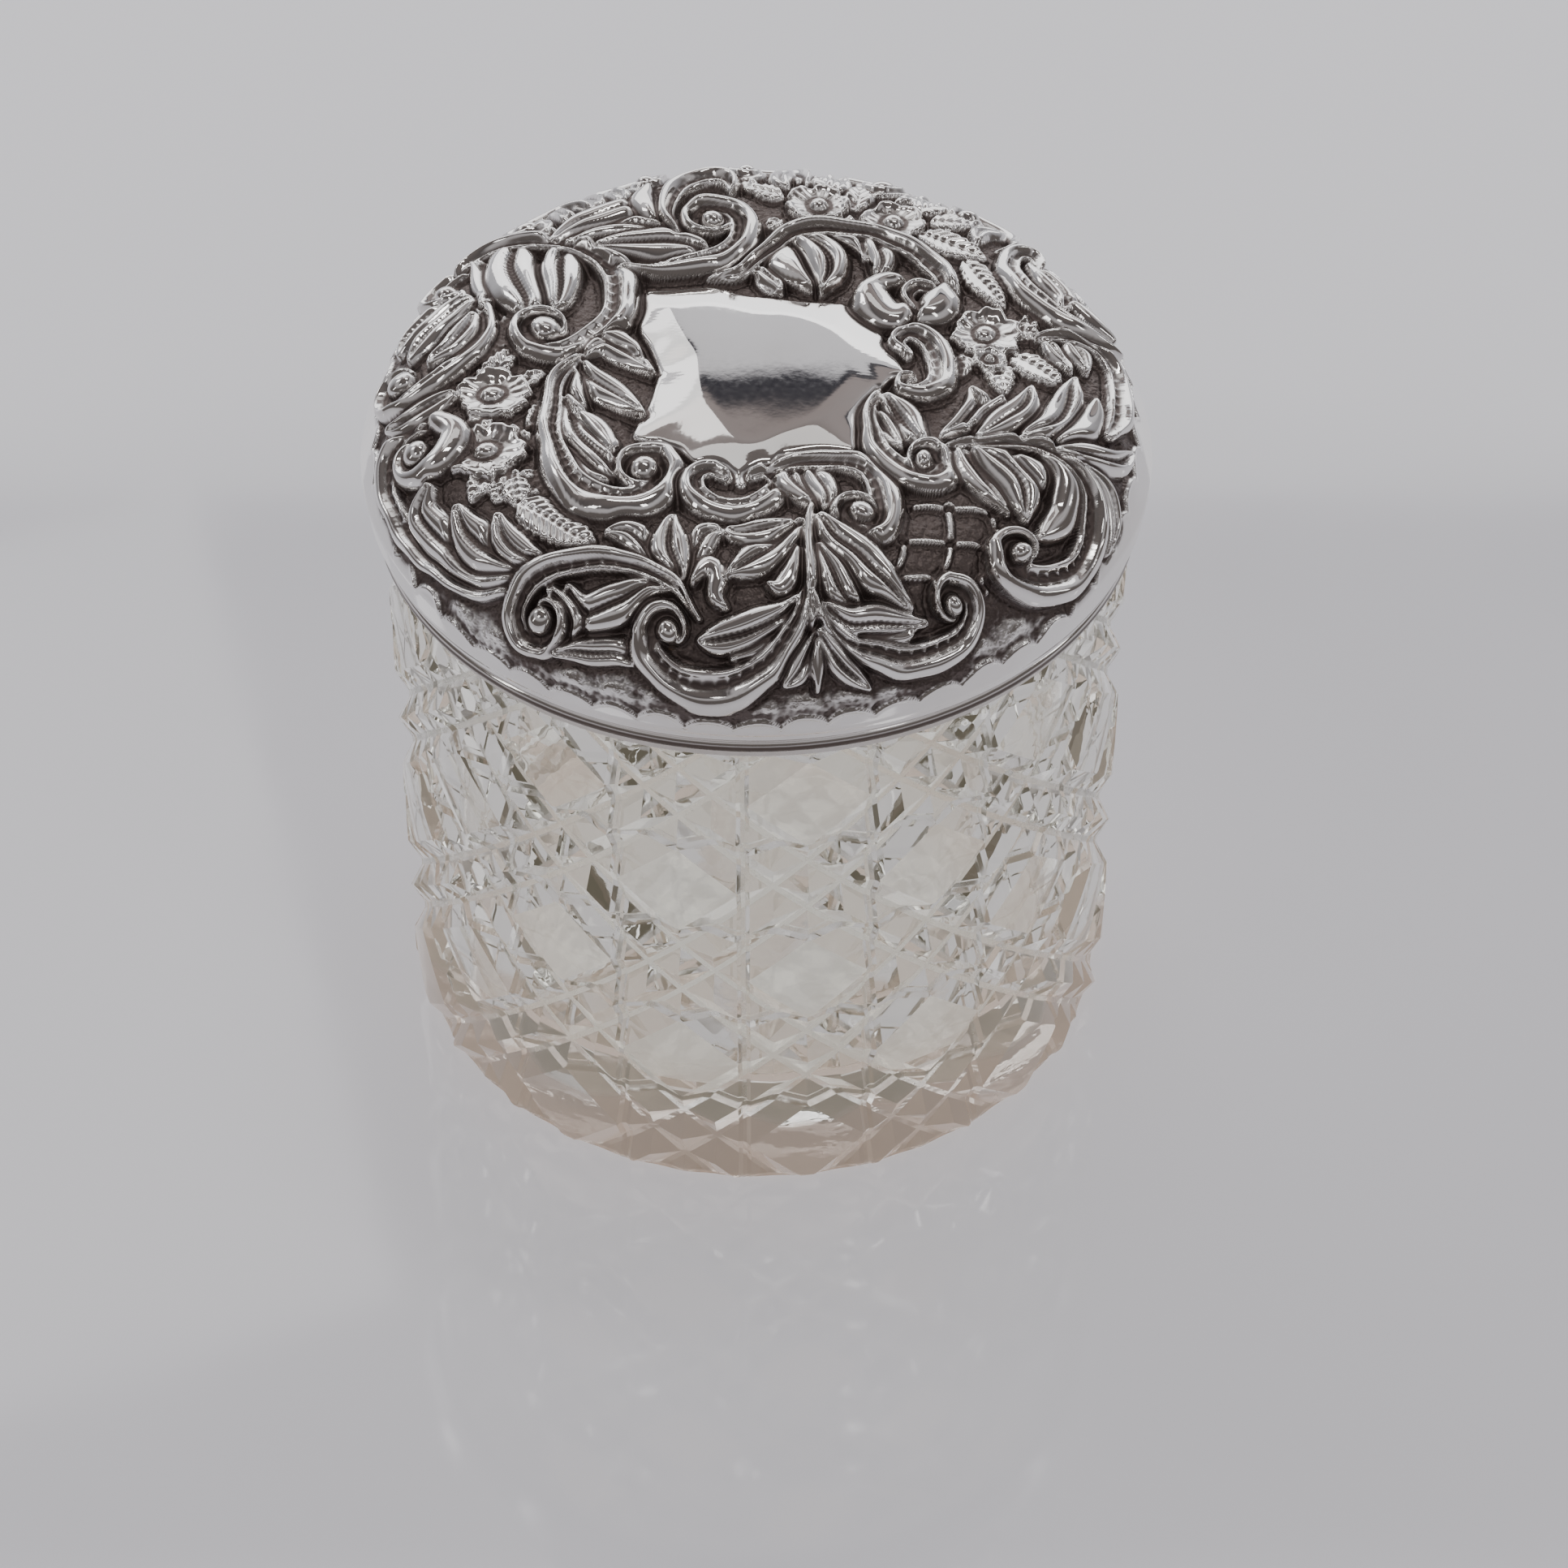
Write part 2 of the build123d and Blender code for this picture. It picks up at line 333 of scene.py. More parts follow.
def lobe(s, run, w):
    """Acanthus lobe: two swelling ridges with a row of punched dots between."""
    dots = 0.5 + 0.5 * np.cos(2 * np.pi * run / DOT_PITCH)
    fold = (0.14 + 0.14 * dots) * smooth((w - .5) / .5)
    return LOBE_CUT(s) - fold * np.exp(-((s + .02) / .14) ** 2)


def plain(s, run, w):
    """Round fold or bar."""
    return PLAIN_CUT(s)


# Kinds of stroke: the cross-section, and how much wider it is struck than it is drawn.
SCROLL = (scroll, 1.12)
LEAF = (lobe, 1.55)
ROUND = (plain, 1.3)

# Serrated leaves: base x, y, tip x, y, width.
LEAVES = [
    (-27.5, -1, -25.6, 9.3, 3.6), (-29, -3, -24.4, 3.6, 3), (-23, -13, -25.4, -9, 2.6),
    (-24.6, -3, -21.4, -1, 2.4), (-27, -8, -31.2, -10.5, 3), (-24.5, -15.5, -26.2, -20.5, 4.4),
    (-24, -16.5, -21.2, -20, 3.6), (-24.5, -17, -23.6, -21.6, 3.2), (-23.8, -20.8, -16, -27.4, 5.6),
    (-20.6, -4.6, -23.6, -9.8, 2.8), (-27, -15, -28.8, -20, 3),
    (21.8, 18, 26.2, 9.8, 4.4), (24.6, 1.6, 25.4, -4.2, 3.6), (26.4, 2.2, 31.8, -3, 3.8),
    (22, 2.5, 21, -2, 2.4), (28, 4.5, 29.4, 10.2, 2.6), (27.2, 7, 30.2, 5.2, 2.4),
    (17, 22.6, 24.4, 18.2, 4.2), (18.2, 24.8, 23.8, 25.6, 3.8), (16.8, 27, 20.6, 30.6, 3.8),
    (10.5, 27, 11, 32.6, 3.6), (3, 29, -1, 31.4, 3.2), (8.5, 30.5, 6.8, 34.8, 3.6),
    (11, 24.6, 8.6, 24.4, 2.4), (2.4, 25, 0.8, 22.8, 2.4),
]

# Open flowers: x, y, radius, petals, turn in degrees.
FLOWERS = [
    (-27, -4.5, 4.1, 5, 20), (-27.3, -13, 4.1, 5, 60), (24, 5.3, 4.2, 6, 15),
    (14.5, 24.6, 3.6, 6, 40), (6.4, 27.6, 3.8, 6, 10), (24.2, 1, 1.9, 5, 0),
]

# Chased strokes in the order they are laid: kind, height, side of the hollow, points (x, y, half
# width), and for a volute the eye (x, y) that its end curls round, with the turns.
STROKES = [
    # Left oval and the stem below it
    (SCROLL, 1.25, -1, [(-31, 12.6, .5), (-28.6, 10.2, .9), (-28, 7, 1.1), (-28.7, 3.6, 1.2),
        (-30.4, 1, 1.3), (-32.8, -1.4, 1.4), (-35.4, -3, 1.5), (-38, -2.6, 1.3)], (-36.9, 0.4, .8)),
    (LEAF, 1.15, 1, [(-30, 11.2, .5), (-32.4, 8.9, 1.2), (-34.6, 6.4, 1.2), (-36.2, 3.9, .3)]),
    (LEAF, 1.1, 1, [(-29.6, 8.2, .5), (-30.6, 5.6, 1), (-32, 3.2, .9), (-33.6, 1.8, .3)]),
    (LEAF, 1.1, 1, [(-31.2, 13.2, .5), (-34, 11, 1.1), (-36.4, 8.6, 1), (-38, 6.4, .3)]),
    (SCROLL, 1.2, 1, [(-28.4, 16, .5), (-30, 18.2, 1), (-32.4, 18.4, 1.2), (-34.6, 17, 1.2),
        (-35.4, 14.8, 1)], (-33.2, 14.6, .8)),
    (SCROLL, 1.25, 1, [(-33.4, -7.8, .8), (-36.2, -7.8, 1.3), (-38.6, -9.6, 1.5), (-39.4, -12.6, 1.5),
        (-39, -15.8, 1.4), (-37.9, -19, 1.4), (-36, -22.4, 1.3), (-33.5, -25.5, 1.2), (-30.7, -27.8, 1.1),
        (-27.7, -29.4, 1), (-24.4, -30.4, .8), (-21, -30.6, .5)]),
    (ROUND, 1.3, 1, [(-32.6, -7.6, .8), (-30.8, -10.2, 1.3), (-31.6, -13, 1.4), (-34.2, -14.2, 1.2)],
        (-34.6, -11.2, .7)),
    (LEAF, 1.2, 1, [(-33.2, -16.2, .5), (-34.6, -19, 1.4), (-32.8, -22.4, 1.6), (-30, -25.4, 1.4),
        (-26.4, -28.2, 1), (-22.4, -29.6, .4)]),
    (LEAF, 1.25, 1, [(-29.8, -20.6, .6), (-29, -23.4, 1.5), (-26.6, -26.2, 1.4), (-22.8, -28.8, .4)]),
    (LEAF, 1.15, 1, [(-25.6, -22.6, .5), (-25, -24.8, 1.1), (-23, -27.4, 1), (-20.6, -28.8, .4)]),
    (LEAF, 1, 1, [(-31.4, -4.6, .5), (-33.6, -5.4, 1.1), (-36.6, -6.4, .9), (-38.6, -6, .3)]),
    # Top-left arch with its two leaves and volute
    (LEAF, 1.2, 1, [(-29.6, 18.6, .6), (-28.6, 15.6, 1.3), (-27.8, 12.6, 1.1), (-28.6, 10.2, .3)]),
    (LEAF, 1.35, 1, [(-25.4, 20.2, .8), (-26, 17, 2), (-25.2, 13.4, 2.1), (-24.2, 10.2, 1.3),
        (-24, 8.4, .3)]),
    (LEAF, 1.35, 1, [(-20.6, 20.2, .7), (-20.6, 17, 1.6), (-20.4, 13.4, 1.6), (-21, 10.6, 1),
        (-21.4, 9.2, .3)]),
    (SCROLL, 1.5, -1, [(-32, 18.6, .4), (-29, 20.4, .9), (-25.2, 21.2, 1.2), (-21.2, 20.6, 1.4),
        (-18, 19.2, 1.6), (-15.4, 16.6, 1.8), (-14.2, 13.2, 1.9), (-14.2, 9.6, 1.9), (-15.4, 6.2, 1.9),
        (-17.6, 3.4, 1.9), (-20.6, 1.9, 1.8), (-23.4, 2.8, 1.5)], (-21.9, 5.6, 1)),
    # Leaves between arch and shield
    (LEAF, 1.2, 1, [(-18.6, 0.6, .6), (-17.4, -2.4, 1.6), (-14.8, -5, 1.5), (-12, -7.8, .5)]),
    (LEAF, 1.15, 1, [(-19.2, -1, .5), (-19.6, -4, 1.3), (-19, -6.4, 1.1), (-17.8, -8.2, .4)]),
    (LEAF, 1.1, 1, [(-17.6, 1.6, .5), (-15.4, 3, 1.2), (-13.4, 1.4, 1.2), (-11.2, -1.2, .4)]),
    (ROUND, 1, 1, [(-15.6, 4.6, .4), (-14.4, 4.4, .9), (-12.8, 2.8, .7), (-12, 1, .2)]),
    # Left-lower C-scroll and its leaf
    (LEAF, 1.3, -1, [(-19.6, -6, .5), (-18.6, -9.6, 1.4), (-17.2, -13.2, 1.6), (-15.4, -16.2, 1.2),
        (-13.9, -18.2, .3)]),
    (ROUND, 1.2, 1, [(-18, -8.6, .4), (-16, -10.4, 1.1), (-14.8, -12.6, 1), (-14.6, -14.6, .3)]),
    (ROUND, 1.1, 1, [(-19.6, -13.4, .5), (-18.8, -16.4, 1), (-17, -18.2, .7), (-15, -18.8, .3)]),
    (SCROLL, 1.5, 1, [(-18.2, 1.4, .3), (-20.2, -1.6, .8), (-21, -5, 1.1), (-21.2, -9, 1.3),
        (-21, -13, 1.5), (-20.2, -16.8, 1.8), (-18.4, -20, 2.1), (-15.4, -22, 2.3), (-12.2, -22, 2.2),
        (-9.6, -20.4, 2), (-8.6, -17.6, 1.7), (-9.4, -14.8, 1.4)], (-11.2, -17.4, .95)),
    # Bottom double volute
    (SCROLL, 1.35, 1, [(-3, -17.9, .7), (-4.6, -17, 1), (-6.2, -18, 1.2), (-6.3, -20.4, 1.4),
        (-4.9, -22.4, 1.6), (-2.6, -23, 1.7), (-0.2, -22.6, 1.6), (1.7, -20.8, 1.3), (2.3, -18.4, 1),
        (1.2, -17.2, .8), (-0.2, -17.9, .6)]),
    # Bottom-right arch with its leaf
    (LEAF, 1.2, 1, [(3.4, -16, .6), (3.6, -18.4, 1.3), (4.6, -20.6, 1.1), (5.6, -22.4, .3)]),
    (LEAF, 1.2, 1, [(5.4, -16.2, .6), (6.4, -18.4, 1.2), (7, -21, 1), (6.6, -23, .3)]),
    (SCROLL, 1.4, -1, [(1.8, -16.9, .4), (4.2, -15.7, .8), (7.2, -15.5, 1.2), (9.6, -15.9, 1.4),
        (11.6, -17.3, 1.5), (12.8, -19.7, 1.6), (13.2, -22.6, 1.6), (12.6, -25.4, 1.6),
        (10.6, -26.8, 1.5), (8.6, -25.6, 1.2)], (10.6, -23.6, .9)),
    # Right-lower volute and leaf
    (LEAF, 1.25, 1, [(13, -5.6, .5), (14.4, -8.2, 1.6), (15.8, -10.8, 1.3), (17.2, -13.2, .3)]),
    (LEAF, 1.1, 1, [(12, -7.6, .4), (12.9, -9.8, 1), (13.9, -12, .8), (14.8, -13.6, .2)]),
    (SCROLL, 1.4, 1, [(12.6, -4.4, .3), (11.6, -7.4, .7), (11.6, -10.4, 1), (12, -13.2, 1.3),
        (13.4, -15.9, 1.5), (15.6, -18, 1.7), (18, -18.4, 1.7), (19.6, -16.6, 1.4), (18.9, -14.4, 1.1)],
        (17.1, -15.6, .8)),
    # Small right C with two volutes
    (SCROLL, 1.4, -1, [(15.6, 1.6, .7), (14.3, 3.2, 1), (15.6, 5, 1.2), (17.8, 3.9, 1.4), (19, 1.6, 1.5),
        (19.4, -1, 1.5), (18.6, -3.4, 1.4), (16.9, -4.9, 1.3), (14.9, -4.4, 1), (14.9, -2.8, .8),
        (16, -2.4, .6)]),
    # Top-right arch, leaves and bulbs
    (ROUND, 1.35, 1, [(0.2, 18.6, .5), (0.6, 16.2, 1.3), (1.3, 13.8, 1.3), (1.9, 12, .4)]),
    (LEAF, 1.2, -1, [(-1.2, 16.4, .3), (0.2, 15.4, .7), (1.5, 13.8, .9), (2.4, 12, .3)]),
    (ROUND, 1.5, 1, [(1.8, 20.8, .6), (2.6, 18.4, 1.8), (3.8, 15.8, 1.9), (5.2, 13.6, 1.1),
        (5.8, 12.2, .3)]),
    (LEAF, 1.7, 1, [(3, 21.6, .5), (5.6, 20, 1.4), (7.3, 17.2, 1.7), (7.6, 14.2, 1.2), (7, 11.8, .3)]),
    (ROUND, 1.3, 1, [(8.4, 21.4, .5), (10.4, 21, 1.4), (11.6, 19.2, 1), (11.4, 17.4, .3)]),
    (LEAF, 1.25, 1, [(11.4, 22, .5), (12.9, 19.4, 1.2), (13.3, 16.6, 1), (12.7, 14, .3)]),
    (SCROLL, 1.5, -1, [(-5.4, 14.2, .3), (-2.4, 15, .7), (-0.4, 17, .9), (1.4, 19.6, 1), (3.6, 21.8, 1.1),
        (6.8, 22.6, 1.2), (10, 22.4, 1.2), (13, 21.5, 1.3), (15.8, 19.7, 1.3), (18.4, 17.1, 1.4),
        (19.8, 13.8, 1.3), (19.6, 10.9, 1.5)]),
    (ROUND, 1.6, 1, [(19.3, 11.6, 1), (19, 9.4, 1.9), (17.2, 8, 1.6), (15.6, 8.6, .7)]),
    (ROUND, 1.6, 1, [(15.9, 12.4, .7), (14, 13.2, 1.2), (12.2, 11.8, 1.5), (12.6, 9.2, 2),
        (14.4, 7.6, 1.6), (15.8, 8.8, .7)]),
    (SCROLL, 1.35, -1, [(16.6, 8.6, .5), (15.6, 10.8, .9), (16.6, 12.6, 1), (18, 12.2, .8)]),
    # Top scroll and the leaves that run left from it
    (LEAF, 1.2, 1, [(-9.6, 22.8, .5), (-13, 23.8, 1.3), (-16.8, 23, 1.2), (-20, 20.6, .4)]),
    (LEAF, 1.2, 1, [(-21.4, 21.2, .5), (-18.6, 24.6, 1.4), (-14.8, 26.8, 1.5), (-11.6, 28, .5)]),
    (LEAF, 1.3, 1, [(-5.6, 18.4, .7), (-8.6, 19.8, 2), (-12.4, 20.2, 1.7), (-16.6, 19.4, .4)]),
    (ROUND, 1.1, 1, [(-9, 24.8, .5), (-11.2, 26.2, 1.3), (-12.2, 28.6, 1.2), (-11.4, 31, .4)]),
    (SCROLL, 1.4, -1, [(-8.2, 21.8, .4), (-9.6, 25, .9), (-9.2, 28.6, 1.2), (-7.6, 31.6, 1.4),
        (-5.2, 33, 1.4), (-3, 32, 1.1), (-2.6, 30.2, .5)]),
    (SCROLL, 1.55, 1, [(-14.8, 15.9, .3), (-12.4, 15.3, .8), (-9.2, 15.6, 1.2), (-6, 16.4, 1.6),
        (-3.2, 18.2, 1.8), (-1.6, 20.8, 1.8), (-1.4, 23.8, 1.7), (-2.9, 26.2, 1.6), (-5.6, 26.6, 1.4),
        (-7.2, 24.8, 1.1)], (-4.9, 23.8, .9)),
    # Bottom leaves under the left scroll
    (LEAF, 1.1, 1, [(-14.8, -26.2, .4), (-12.6, -26.4, 1.2), (-10.6, -28.6, 1.2), (-8.2, -31.4, .5)]),
    (LEAF, 1.1, 1, [(-3.6, -26.4, .4), (-5.2, -27, 1.2), (-6.2, -29.2, 1.1), (-7.2, -31.6, .5)]),
    (LEAF, 1.25, 1, [(-7.4, -33, .4), (-8, -30.4, 1), (-8.7, -27.6, 1.4), (-8.6, -25.6, .9),
        (-8.2, -24.4, .3)]),
    (ROUND, 1.15, 1, [(-6.2, -32.6, .4), (-4.9, -31, 1), (-3.9, -32, .9), (-4, -34, .6),
        (-3.2, -35.4, .3)]),
    # Bottom-left scroll
    (LEAF, 1.2, 1, [(-18.6, -32, .6), (-17.2, -34.4, 1.4), (-13.6, -34, 1.5), (-10.4, -32.8, .9),
        (-7.6, -33, .3)]),
    (LEAF, 1.2, 1, [(-20.6, -31.4, .4), (-19.4, -33.6, 1), (-18.6, -35.4, .9), (-19.6, -37, .3)]),
    (SCROLL, 1.5, 1, [(-5.6, -36, .3), (-7.6, -33.2, .7), (-10.6, -31, 1), (-14, -29.6, 1.2),
        (-17.4, -29.2, 1.4), (-20.8, -29.6, 1.5), (-23.6, -30.8, 1.6), (-25, -33, 1.6),
        (-24.4, -35.6, 1.5), (-22.2, -36.8, 1.3)], (-21.8, -34.2, .8)),
    (LEAF, 1, 1, [(-21, -37.6, .4), (-17.4, -38.2, 1), (-14, -38.6, 1), (-12, -40.4, .4)]),
    # Bottom C under the middle
    (LEAF, 1.25, 1, [(5, -33.4, .3), (2.6, -36, 1.1), (-0.6, -37.8, 1.6), (-3.6, -38.4, 1.3),
        (-5.6, -38.2, .4)]),
    (LEAF, 1.1, 1, [(4.6, -37.2, .3), (2.4, -39, .9), (0, -40.4, .8), (-2.4, -40.6, .3)]),
    (SCROLL, 1.5, -1, [(5.2, -31.6, .3), (4.7, -35, .9), (3.4, -38.4, 1.3), (1, -41.4, 1.6),
        (-2, -43.2, 1.9), (-5.4, -43.4, 2), (-8.6, -42.2, 1.9), (-10.9, -39.8, 1.6), (-11.2, -37, 1.3)],
        (-8.9, -37.2, .9)),
    # Leaves off the middle stem
    (LEAF, 1.3, 1, [(4.6, -25.2, .5), (2.4, -28, 1.5), (-0.6, -30.6, 1.4), (-3, -32.2, .3)]),
    (LEAF, 1.15, 1, [(3.4, -25.6, .4), (0.6, -26.6, 1.2), (-1.8, -26.8, .8), (-3.2, -26.2, .2)]),
    (ROUND, 1.1, 1, [(4.2, -29, .3), (3.4, -31.6, .9), (2.2, -33.2, .8), (0.8, -33.2, .3)]),
    (LEAF, 1.35, 1, [(6.2, -24.6, .5), (8.4, -28, 1.6), (11.6, -31.2, 1.6), (15.2, -34.2, .4)]),
    (LEAF, 1.2, 1, [(6.4, -28.4, .4), (7.4, -31.6, 1.1), (8.8, -34, 1.1), (10.6, -35, .3)]),
    (ROUND, 1.2, 1, [(5.3, -23, .4), (5.3, -28, .6), (5.5, -33, .6), (5.8, -37.6, .35)]),
    # Bottom-right scroll and leaf
    (LEAF, 1.25, 1, [(6.4, -34.8, .3), (9.6, -36.6, 1.2), (13, -36.2, 1.4), (16.8, -35.4, .4)]),
    (ROUND, 1.1, 1, [(11, -37.8, .3), (13.2, -38.2, .8), (15, -37.6, .8), (16, -36.4, .3)]),
    (SCROLL, 1.5, 1, [(5.8, -33.6, .3), (7, -36.6, .7), (9.4, -38.6, 1.1), (12.6, -39.4, 1.4),
        (16, -39.3, 1.6), (19.4, -38.2, 1.7), (21.8, -36.2, 1.6), (22.6, -33.4, 1.3), (21.4, -31.4, 1.1),
        (19.2, -31.2, 1)], (19.9, -33.2, .8)),
    # Bottom fleur
    (LEAF, 1.1, 1, [(6.2, -37.4, .3), (5.4, -39.6, .8), (4.4, -41.4, 1), (2.8, -43, .3)]),
    (LEAF, 1.1, 1, [(6.4, -37.4, .3), (7.8, -39.4, .9), (9.6, -41.2, 1), (12, -42.4, .3)]),
    (ROUND, 1, 1, [(6.2, -38.4, .3), (6.4, -41, .7), (6.6, -43.4, .3)]),
    # Right scroll with its leaves
    (LEAF, 1.2, 1, [(20.6, -13.8, .4), (22, -16.4, 1.2), (23.2, -19.4, 1.1), (25.2, -22, .3)]),
    (LEAF, 1.35, 1, [(22, -13.6, .4), (24.8, -15.8, 1.6), (26.6, -19, 1.5), (27, -22.6, .3)]),
    (ROUND, 1.3, 1, [(28.6, -13.6, .4), (31, -16.4, 1.4), (31.4, -19.8, 1.5), (29.8, -22.8, 1.1),
        (28.4, -24.2, .4)]),
    (ROUND, 1, 1, [(26.4, -14.6, .3), (28, -16.2, .9), (28.8, -18.2, .3)]),
    (SCROLL, 1.5, -1, [(19.4, -13.4, .3), (23, -12.8, .6), (27, -12.8, .9), (30.8, -13.6, 1.2),
        (33.6, -15.6, 1.5), (35, -18.6, 1.8), (35.2, -22, 2), (33.8, -25.6, 2.1), (31.2, -28, 2),
        (28, -29, 1.8), (25, -28.4, 1.5), (24, -26.2, 1.2)], (26.3, -26.4, .85)),
    # Right fan
    (LEAF, 1.2, 1, [(18.8, -12, .3), (21.2, -9.4, 1), (22.6, -6.4, 1.2), (21.8, -4.2, .4)]),
    (ROUND, 1.2, 1, [(22, -9.6, .4), (23.8, -7.6, 1.1), (25, -5.2, .4)]),
    (LEAF, 1.25, 1, [(22.4, -11.8, .4), (25.2, -9.2, 1.4), (27.2, -6.4, 1.3), (28, -3.6, .3)]),
    (LEAF, 1.25, 1, [(27.2, -12, .4), (30, -9.2, 1.4), (31.8, -5.8, 1.4), (32.6, -2.2, .4)]),
    (ROUND, 1.2, 1, [(30.6, -11.6, .4), (33, -9.2, 1.1), (34.4, -6.4, 1.1), (34.6, -4, .3)]),
    (LEAF, 1.2, 1, [(30.6, -12.8, .4), (34, -11.8, 1.2), (37.4, -10.6, 1.1), (39.4, -8.6, .3)]),
    (LEAF, 1.1, 1, [(33.6, -13.6, .4), (36.4, -15, 1.1), (38, -17.8, 1), (38.2, -21, .3)]),
    (LEAF, 1.1, 1, [(30, 4.6, .4), (31, 2.2, 1), (32.2, -0.4, .3)]),
    (LEAF, 1.1, 1, [(32, 4.8, .4), (33.2, 2.8, 1), (34, 0.2, .3)]),
    (SCROLL, 1.4, -1, [(29.4, 4.9, .4), (32.6, 5.4, .8), (35.6, 4.6, 1.1), (37.8, 2.4, 1.4),
        (38.4, -0.8, 1.5), (38, -4.2, 1.4), (36.6, -7.4, .8)]),
    # Right-upper scroll
    (LEAF, 1.1, 1, [(28.6, 18.4, .4), (31, 15.6, 1.2), (32.4, 12.8, 1), (31.6, 10.6, .3)]),
    (SCROLL, 1.35, 1, [(30, 18.6, .5), (28.8, 20.8, .8), (26.8, 20, 1.1), (26.4, 17, 1.3),
        (27.8, 13.6, 1.4), (29.8, 10.6, 1.5), (32.4, 8, 1.5), (35.6, 6.6, 1.3), (38.4, 6.4, .6)]),
    (ROUND, 1.1, 1, [(33, 12.4, .4), (35.2, 10.8, 1), (37.6, 8.8, .4)]),
]


# The shield's outline, and the flat facet on it.
SHIELD = [(-12.3, 12.6), (-9, 12.7), (-4, 12.9), (-2.5, 12.4), (1, 11.2), (4, 10.7), (8, 10.3), (10.5, 9.8),
          (12, 7.5), (13, 5), (13.8, 2), (15.4, -1), (13.5, -2.5), (12.3, -5), (11.2, -8), (10.8, -11),
          (10.2, -13.5), (8, -14.7), (4, -15.3), (2.5, -16.5), (0.5, -17.2), (-1.5, -19.3), (-3.5, -17),
          (-5, -16.2), (-6.5, -15.5), (-8, -13.8), (-9.7, -12.4), (-11.5, -12), (-12.5, -11), (-12, -8.5),
          (-11.2, -6), (-10.7, -3), (-10.5, 0), (-11.2, 3), (-12.3, 5.5), (-12.6, 8), (-12.3, 12.6)]

PLATEAU = [(-9.2, 9.2), (-7.6, 4.6), (-6.4, 0), (-5, -5.6), (-3, -11.4), (-0.6, -13.4), (3, -11.8),
           (6.6, -9.6), (8.8, -5.4), (10.2, -1.6), (9.4, 3), (7, 6.4), (1, 8.2), (-4, 9.6), (-9.2, 9.2)]

# Where the scalloped edge of the stamping runs: turn in degrees, reach in plan mm. It comes lowest
# at the front, perhaps because the blank was struck off its middle. From 60 to 180 it is a guess.
EDGE = [(-180, 41.6), (-165, 43.4), (-150, 45.2), (-134, 47.1), (-121, 48.0), (-90, 48.1), (-62, 47.1),
        (-44, 46.5), (-32, 45.2), (-26, 44.3), (-15.7, 42.7), (-9.6, 42.1), (0, 41.7), (60, 41.5),
        (120, 41.5), (180, 41.6)]
SCALLOPS = 54
SCALLOP_DEPTH = 1.25
BORDER = 0.42             # height of the plain border outside them

# Trellis at the lower right: x of the knots in each row, y of the rows.
LATTICE_X = [(15.0, 19.3, 23.6), (14.6, 19.4, 23.9), (13.9, 18.8, 23.2)]
LATTICE_Y = [-22.2, -26.7, -31.0]
LATTICE_MIDDLE = (19.0, -26.5)
KNOT = 0.8                # from the middle of a knot to its corners


def inside_of(outline, X, Y):
    """Distance in from a closed outline, negative outside it."""
    p = spline([(x, y) for x, y in outline], 6)
    best = np.full(X.shape, 1e9)
    odd = np.zeros(X.shape, bool)
    for (ax, ay), (bx, by) in zip(p[:-1], p[1:]):
        ex, ey = bx - ax, by - ay
        t = np.clip(((X - ax) * ex + (Y - ay) * ey) / max(ex * ex + ey * ey, 1e-9), 0, 1)
        best = np.minimum(best, np.hypot(X - ax - t * ex, Y - ay - t * ey))
        if ay != by:
            odd ^= ((ay > Y) != (by > Y)) & (X < ax + (Y - ay) * ex / ey)
    return np.where(odd, best, -best)


def ground(plan, rng):
    """Sunk matted ground, and the plain border outside the scalloped edge."""
    X, Y = np.meshgrid(plan.axis, plan.axis)
    rho, turn = np.hypot(X, Y), np.degrees(np.arctan2(Y, X))
    plan.matt = blur(rng.standard_normal(plan.h.shape), 0.13)
    plan.matt /= plan.matt.std()
    cusp = np.interp(turn, *np.array(EDGE, float).T)
    t = (turn / 360 * SCALLOPS) % 1
    out = rho - (cusp - SCALLOP_DEPTH * (1 - (2 * t - 1) ** 2))
    lip = 0.30 * np.exp(-((out - 0.1) / 0.22) ** 2)
    bud = 0.34 * np.exp(-((out + 1.7) / 0.85) ** 2)
    bud *= (0.5 + 0.5 * np.cos(2 * np.pi * (t - 0.5))) ** 0.6
    bed = 0.055 * plan.matt + bud + 0.10 * smooth((out + 1.0) / 1.0)
    plan.h = np.where(out > 0, BORDER, bed) + lip


def shield(plan):
    """Polished shield: a low dome with a flat facet, and bevels down to its outline."""
    where, X, Y = plan.window(-17, 19, -23, 17)
    d = inside_of(SHIELD, X, Y)
    inner = np.clip(-inside_of(PLATEAU, X, Y), 0, None)
    bevel = np.clip(d, 0, None) / (np.clip(d, 0, None) + inner + 1e-6)
    dome = 0.35 * (1 - ((X - 0.5) ** 2 + (Y + 1.5) ** 2) / 17**2)
    plan.lay(where, d, 0.50 + 0.72 * blur(bevel, 0.45) + dome, 0.5)
    plan.plain[where] = smooth(d / 1.2 + 0.5)


def lattice(plan):
    """Trellis of bars between small square knots."""
    def bar(points, half, high):
        plan.stroke([(x, y, half) for x, y in points], high, plain, moat=.3)

    for xs, y in zip(LATTICE_X, LATTICE_Y):
        for x in xs:
            bar([(x - KNOT, y), (x, y + KNOT), (x + KNOT, y), (x, y - KNOT), (x - KNOT, y)], 0.30, 0.85)
        for a, b in zip(xs[:-1], xs[1:]):
            bar([(a + KNOT, y), ((a + b) / 2, y + 0.12), (b - KNOT, y)], 0.38, 0.8)
    for k in range(len(LATTICE_Y) - 1):
        y1, y0 = LATTICE_Y[k:k + 2]
        for a, b in zip(*LATTICE_X[k:k + 2]):
            bar([(a, y1 - KNOT), ((a + b) / 2 + 0.1, (y0 + y1) / 2), (b, y0 + KNOT)], 0.38, 0.8)


